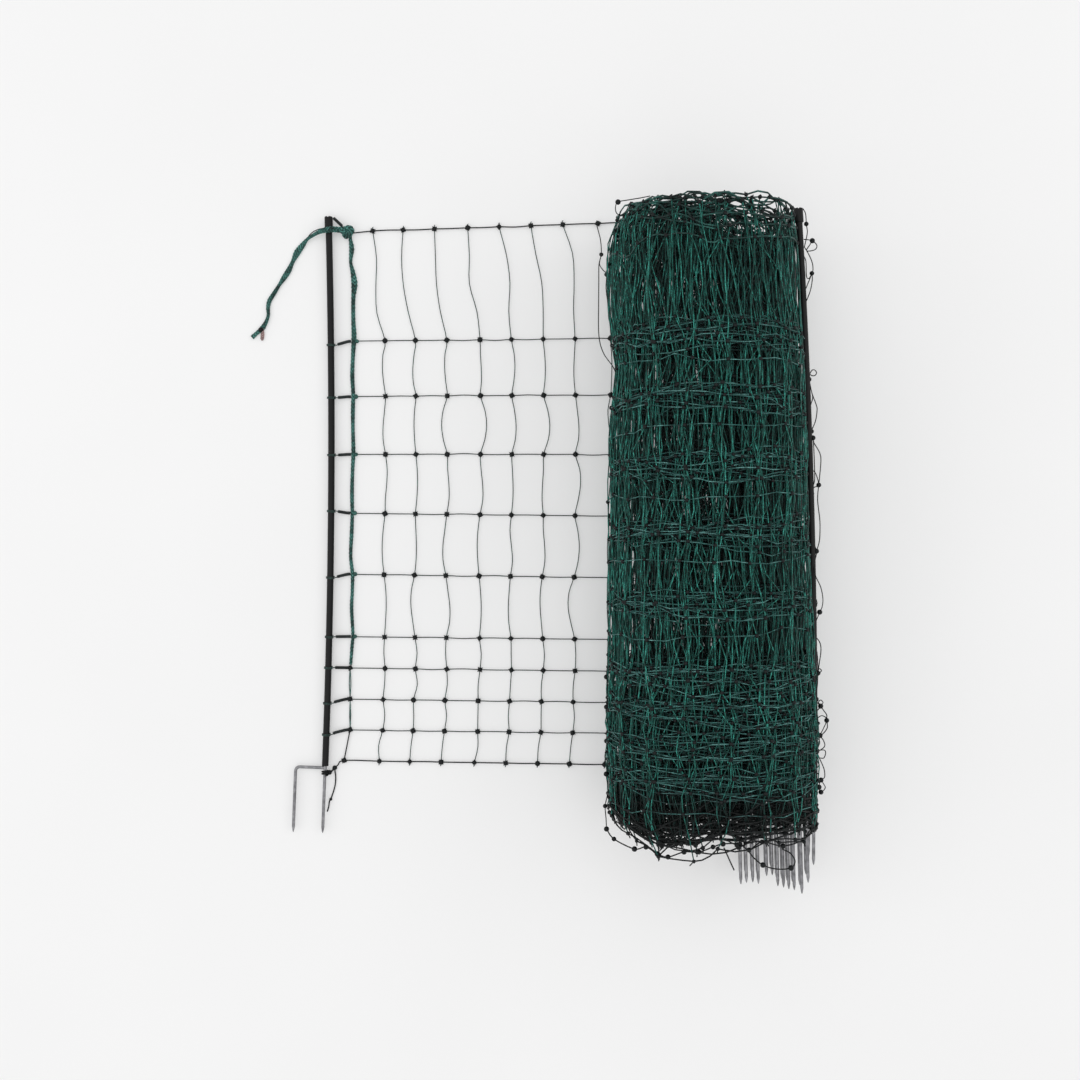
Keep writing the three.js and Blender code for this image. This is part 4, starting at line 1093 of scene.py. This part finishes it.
def wound_uprights(net):
    """The uprights of the roll: from knot to knot with their bows, over all of the net's knots."""
    count = len(net[0])
    columns = []
    for i in range(LAST):
        above, below = line_knots(net, i), line_knots(net, i + 1)
        _, parts, slack = cell(i)
        wide = np.where(random.random(count) < WOUND_SLACK["wild"], WOUND_SLACK["wilder"], 1)
        bow, curl = random.normal(0, slack, (2, count)) * wide
        lift = random.normal(0, WOUND_SLACK["lift"], count)
        columns.append(above)
        for t in np.arange(1, parts) / parts:
            spots = above + (below - above) * t
            spots[:, 0] += bow * math.sin(math.pi * t) + 0.5 * curl * math.sin(2 * math.pi * t)
            spots[:, 2] += lift * math.sin(math.pi * t)
            columns.append(spots)
    u, y, out = np.stack([*columns, below], 1).transpose(2, 0, 1)
    return wound(np.clip(u, 0, RUN[-1]), y, out)


def wound_line(i, net, last_knot):
    """Line i of the roll, from the last knot of the loose end on."""
    outermost = i in (0, LAST)
    knot = line_knots(net, i)
    middle = random.normal(0, 1, (2, len(knot) - 1))
    sag = WOUND_SLACK["rim_sag" if outermost else "sag"]
    columns = []
    for t in (0, 1 / 3, 2 / 3) if outermost else (0, 1 / 2):
        bow = math.sin(math.pi * t)
        shift = np.stack((0 * middle[0], sag * middle[0], WOUND_SLACK["line_lift"] * middle[1]), 1) * bow
        columns.append(knot[:-1] + (knot[1:] - knot[:-1]) * t + shift)
    u, y, out = np.stack(columns, 1).reshape(-1, 3).T
    return np.vstack((last_knot + ORIGIN, wound(u, y, out)))


def wound_net(rows):
    net = wound_knots()
    uprights = tubes("wound_uprights", wound_uprights(net), WOUND_TWINE["strand"], 0)
    # The uprights and lines keep their depth, from which their materials paint shade inside the roll
    show("wound_uprights", painted_shade_depth(uprights), UPRIGHT, ["net_roll"])
    inner = [wound_line(i, net, rows[i][-1]) for i in range(1, LAST)]
    show("wound_lines", painted_shade_depth(tubes("wound_lines", inner, WOUND_TWINE["line"], 0)), LINE)
    for name, i, finish, slot in (("wound_head_line", 0, HEAD_LINE, "net"),
                                  ("wound_foot_line", LAST, RIM, "line_black")):
        strands(name, [wound_line(i, net, rows[i][-1])], WOUND_TWINE["rim"], 0, finish)
    places = wound(*[part.ravel() for part in net])
    places[:, 2] = np.maximum(places[:, 2], ORIGIN[2] + 0.8 * WOUND_TWINE["knot"])
    knots("wound_knots", places, WOUND_TWINE["knot"], (0.82, 1.0), KNOT, levels=1)
    tails = []
    for i, side in ((0, "head"), (LAST, "foot")):
        knot = line_knots(net, i)
        end = np.full(knot.shape, (0, WOUND_TAIL[side] * TWINE["tail"], WOUND_TAIL["out"]))
        end[:, 0] = random.normal(0, WOUND_TAIL["lean"], len(knot))
        tails += [wound(*np.array((spot, spot + reach)).T) for spot, reach in zip(knot, end)]
    strands("wound_tails", tails, WOUND_TWINE["end"], 0, RIM)


def loose_strands():
    """Strands and knots that stand off the roll at its sides and foot."""
    runs = []
    for chain in RIGHT_STRANDS:
        lift = random.normal(0, STRAY["scatter"], len(chain))
        line = [seen(*pixel, SIDE_POST["z"] + rise) for pixel, rise in zip(chain, lift)]
        runs.append(smooth(line, 4) + ORIGIN)
    marks = [seen(*pixel, SIDE_POST["z"]) for pixel in RIGHT_KNOTS]
    for chain, heights, marked in SIDE_CHAINS:
        line = [seen(*pixel, z) for pixel, z in zip(chain, np.linspace(*heights, len(chain)))]
        runs.append(smooth(line, 4) + ORIGIN)
        marks += [line[i] for i in marked]
    strands("side_strands", runs, STRAY["radius"], 1, RIM)
    arch = ROLL["axis"] + STRAY["arch"] * np.sin(np.linspace(*STRAY["angles"], len(FOOT_CHAIN)))
    rim, loop, tail = [[seen(*pixel, z) for pixel, z in zip(chain, heights)] for chain, heights in (
        (FOOT_CHAIN, arch), (FOOT_LOOP, np.linspace(*STRAY["loop"], len(FOOT_LOOP))),
        (STRAY_TAIL, STRAY["tail"]))]
    edges = [smooth(line, 5) + ORIGIN for line in (rim, loop, tail)]
    strands("foot_rim", edges, TWINE["rim"], 2, RIM)
    marks += [*rim, loop[2], loop[4], seen(*SPLIT, 0.0045)]
    knots("side_knots", np.array(marks) + ORIGIN, TWINE["knot"], (0.85, 1.05), KNOT)


studio()
tie()
foot_tail()
tie_knot()
edge_cord()
post_rod("end_rod", END_POST, "end_post")
post_cap("end_cap", END_POST, "end_post_cap")
post_rod("side_rod", SIDE_POST, "side_post")
post_cap("side_cap", SIDE_POST, "side_post_cap", 1.08)
spikes()
ROWS = panel_knots()
loose_end(ROWS)
for number, line in enumerate(LINES[1:-1], 2):
    line_tie(number, line)
head_sleeve()
foot_wrap()
wound_net(ROWS)
loose_strands()
for i in range(1, NEST["posts"] + 1):
    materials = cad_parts["nested_post_%02d" % i].data.materials
    materials.clear()
    materials.append(POST_BLACK)
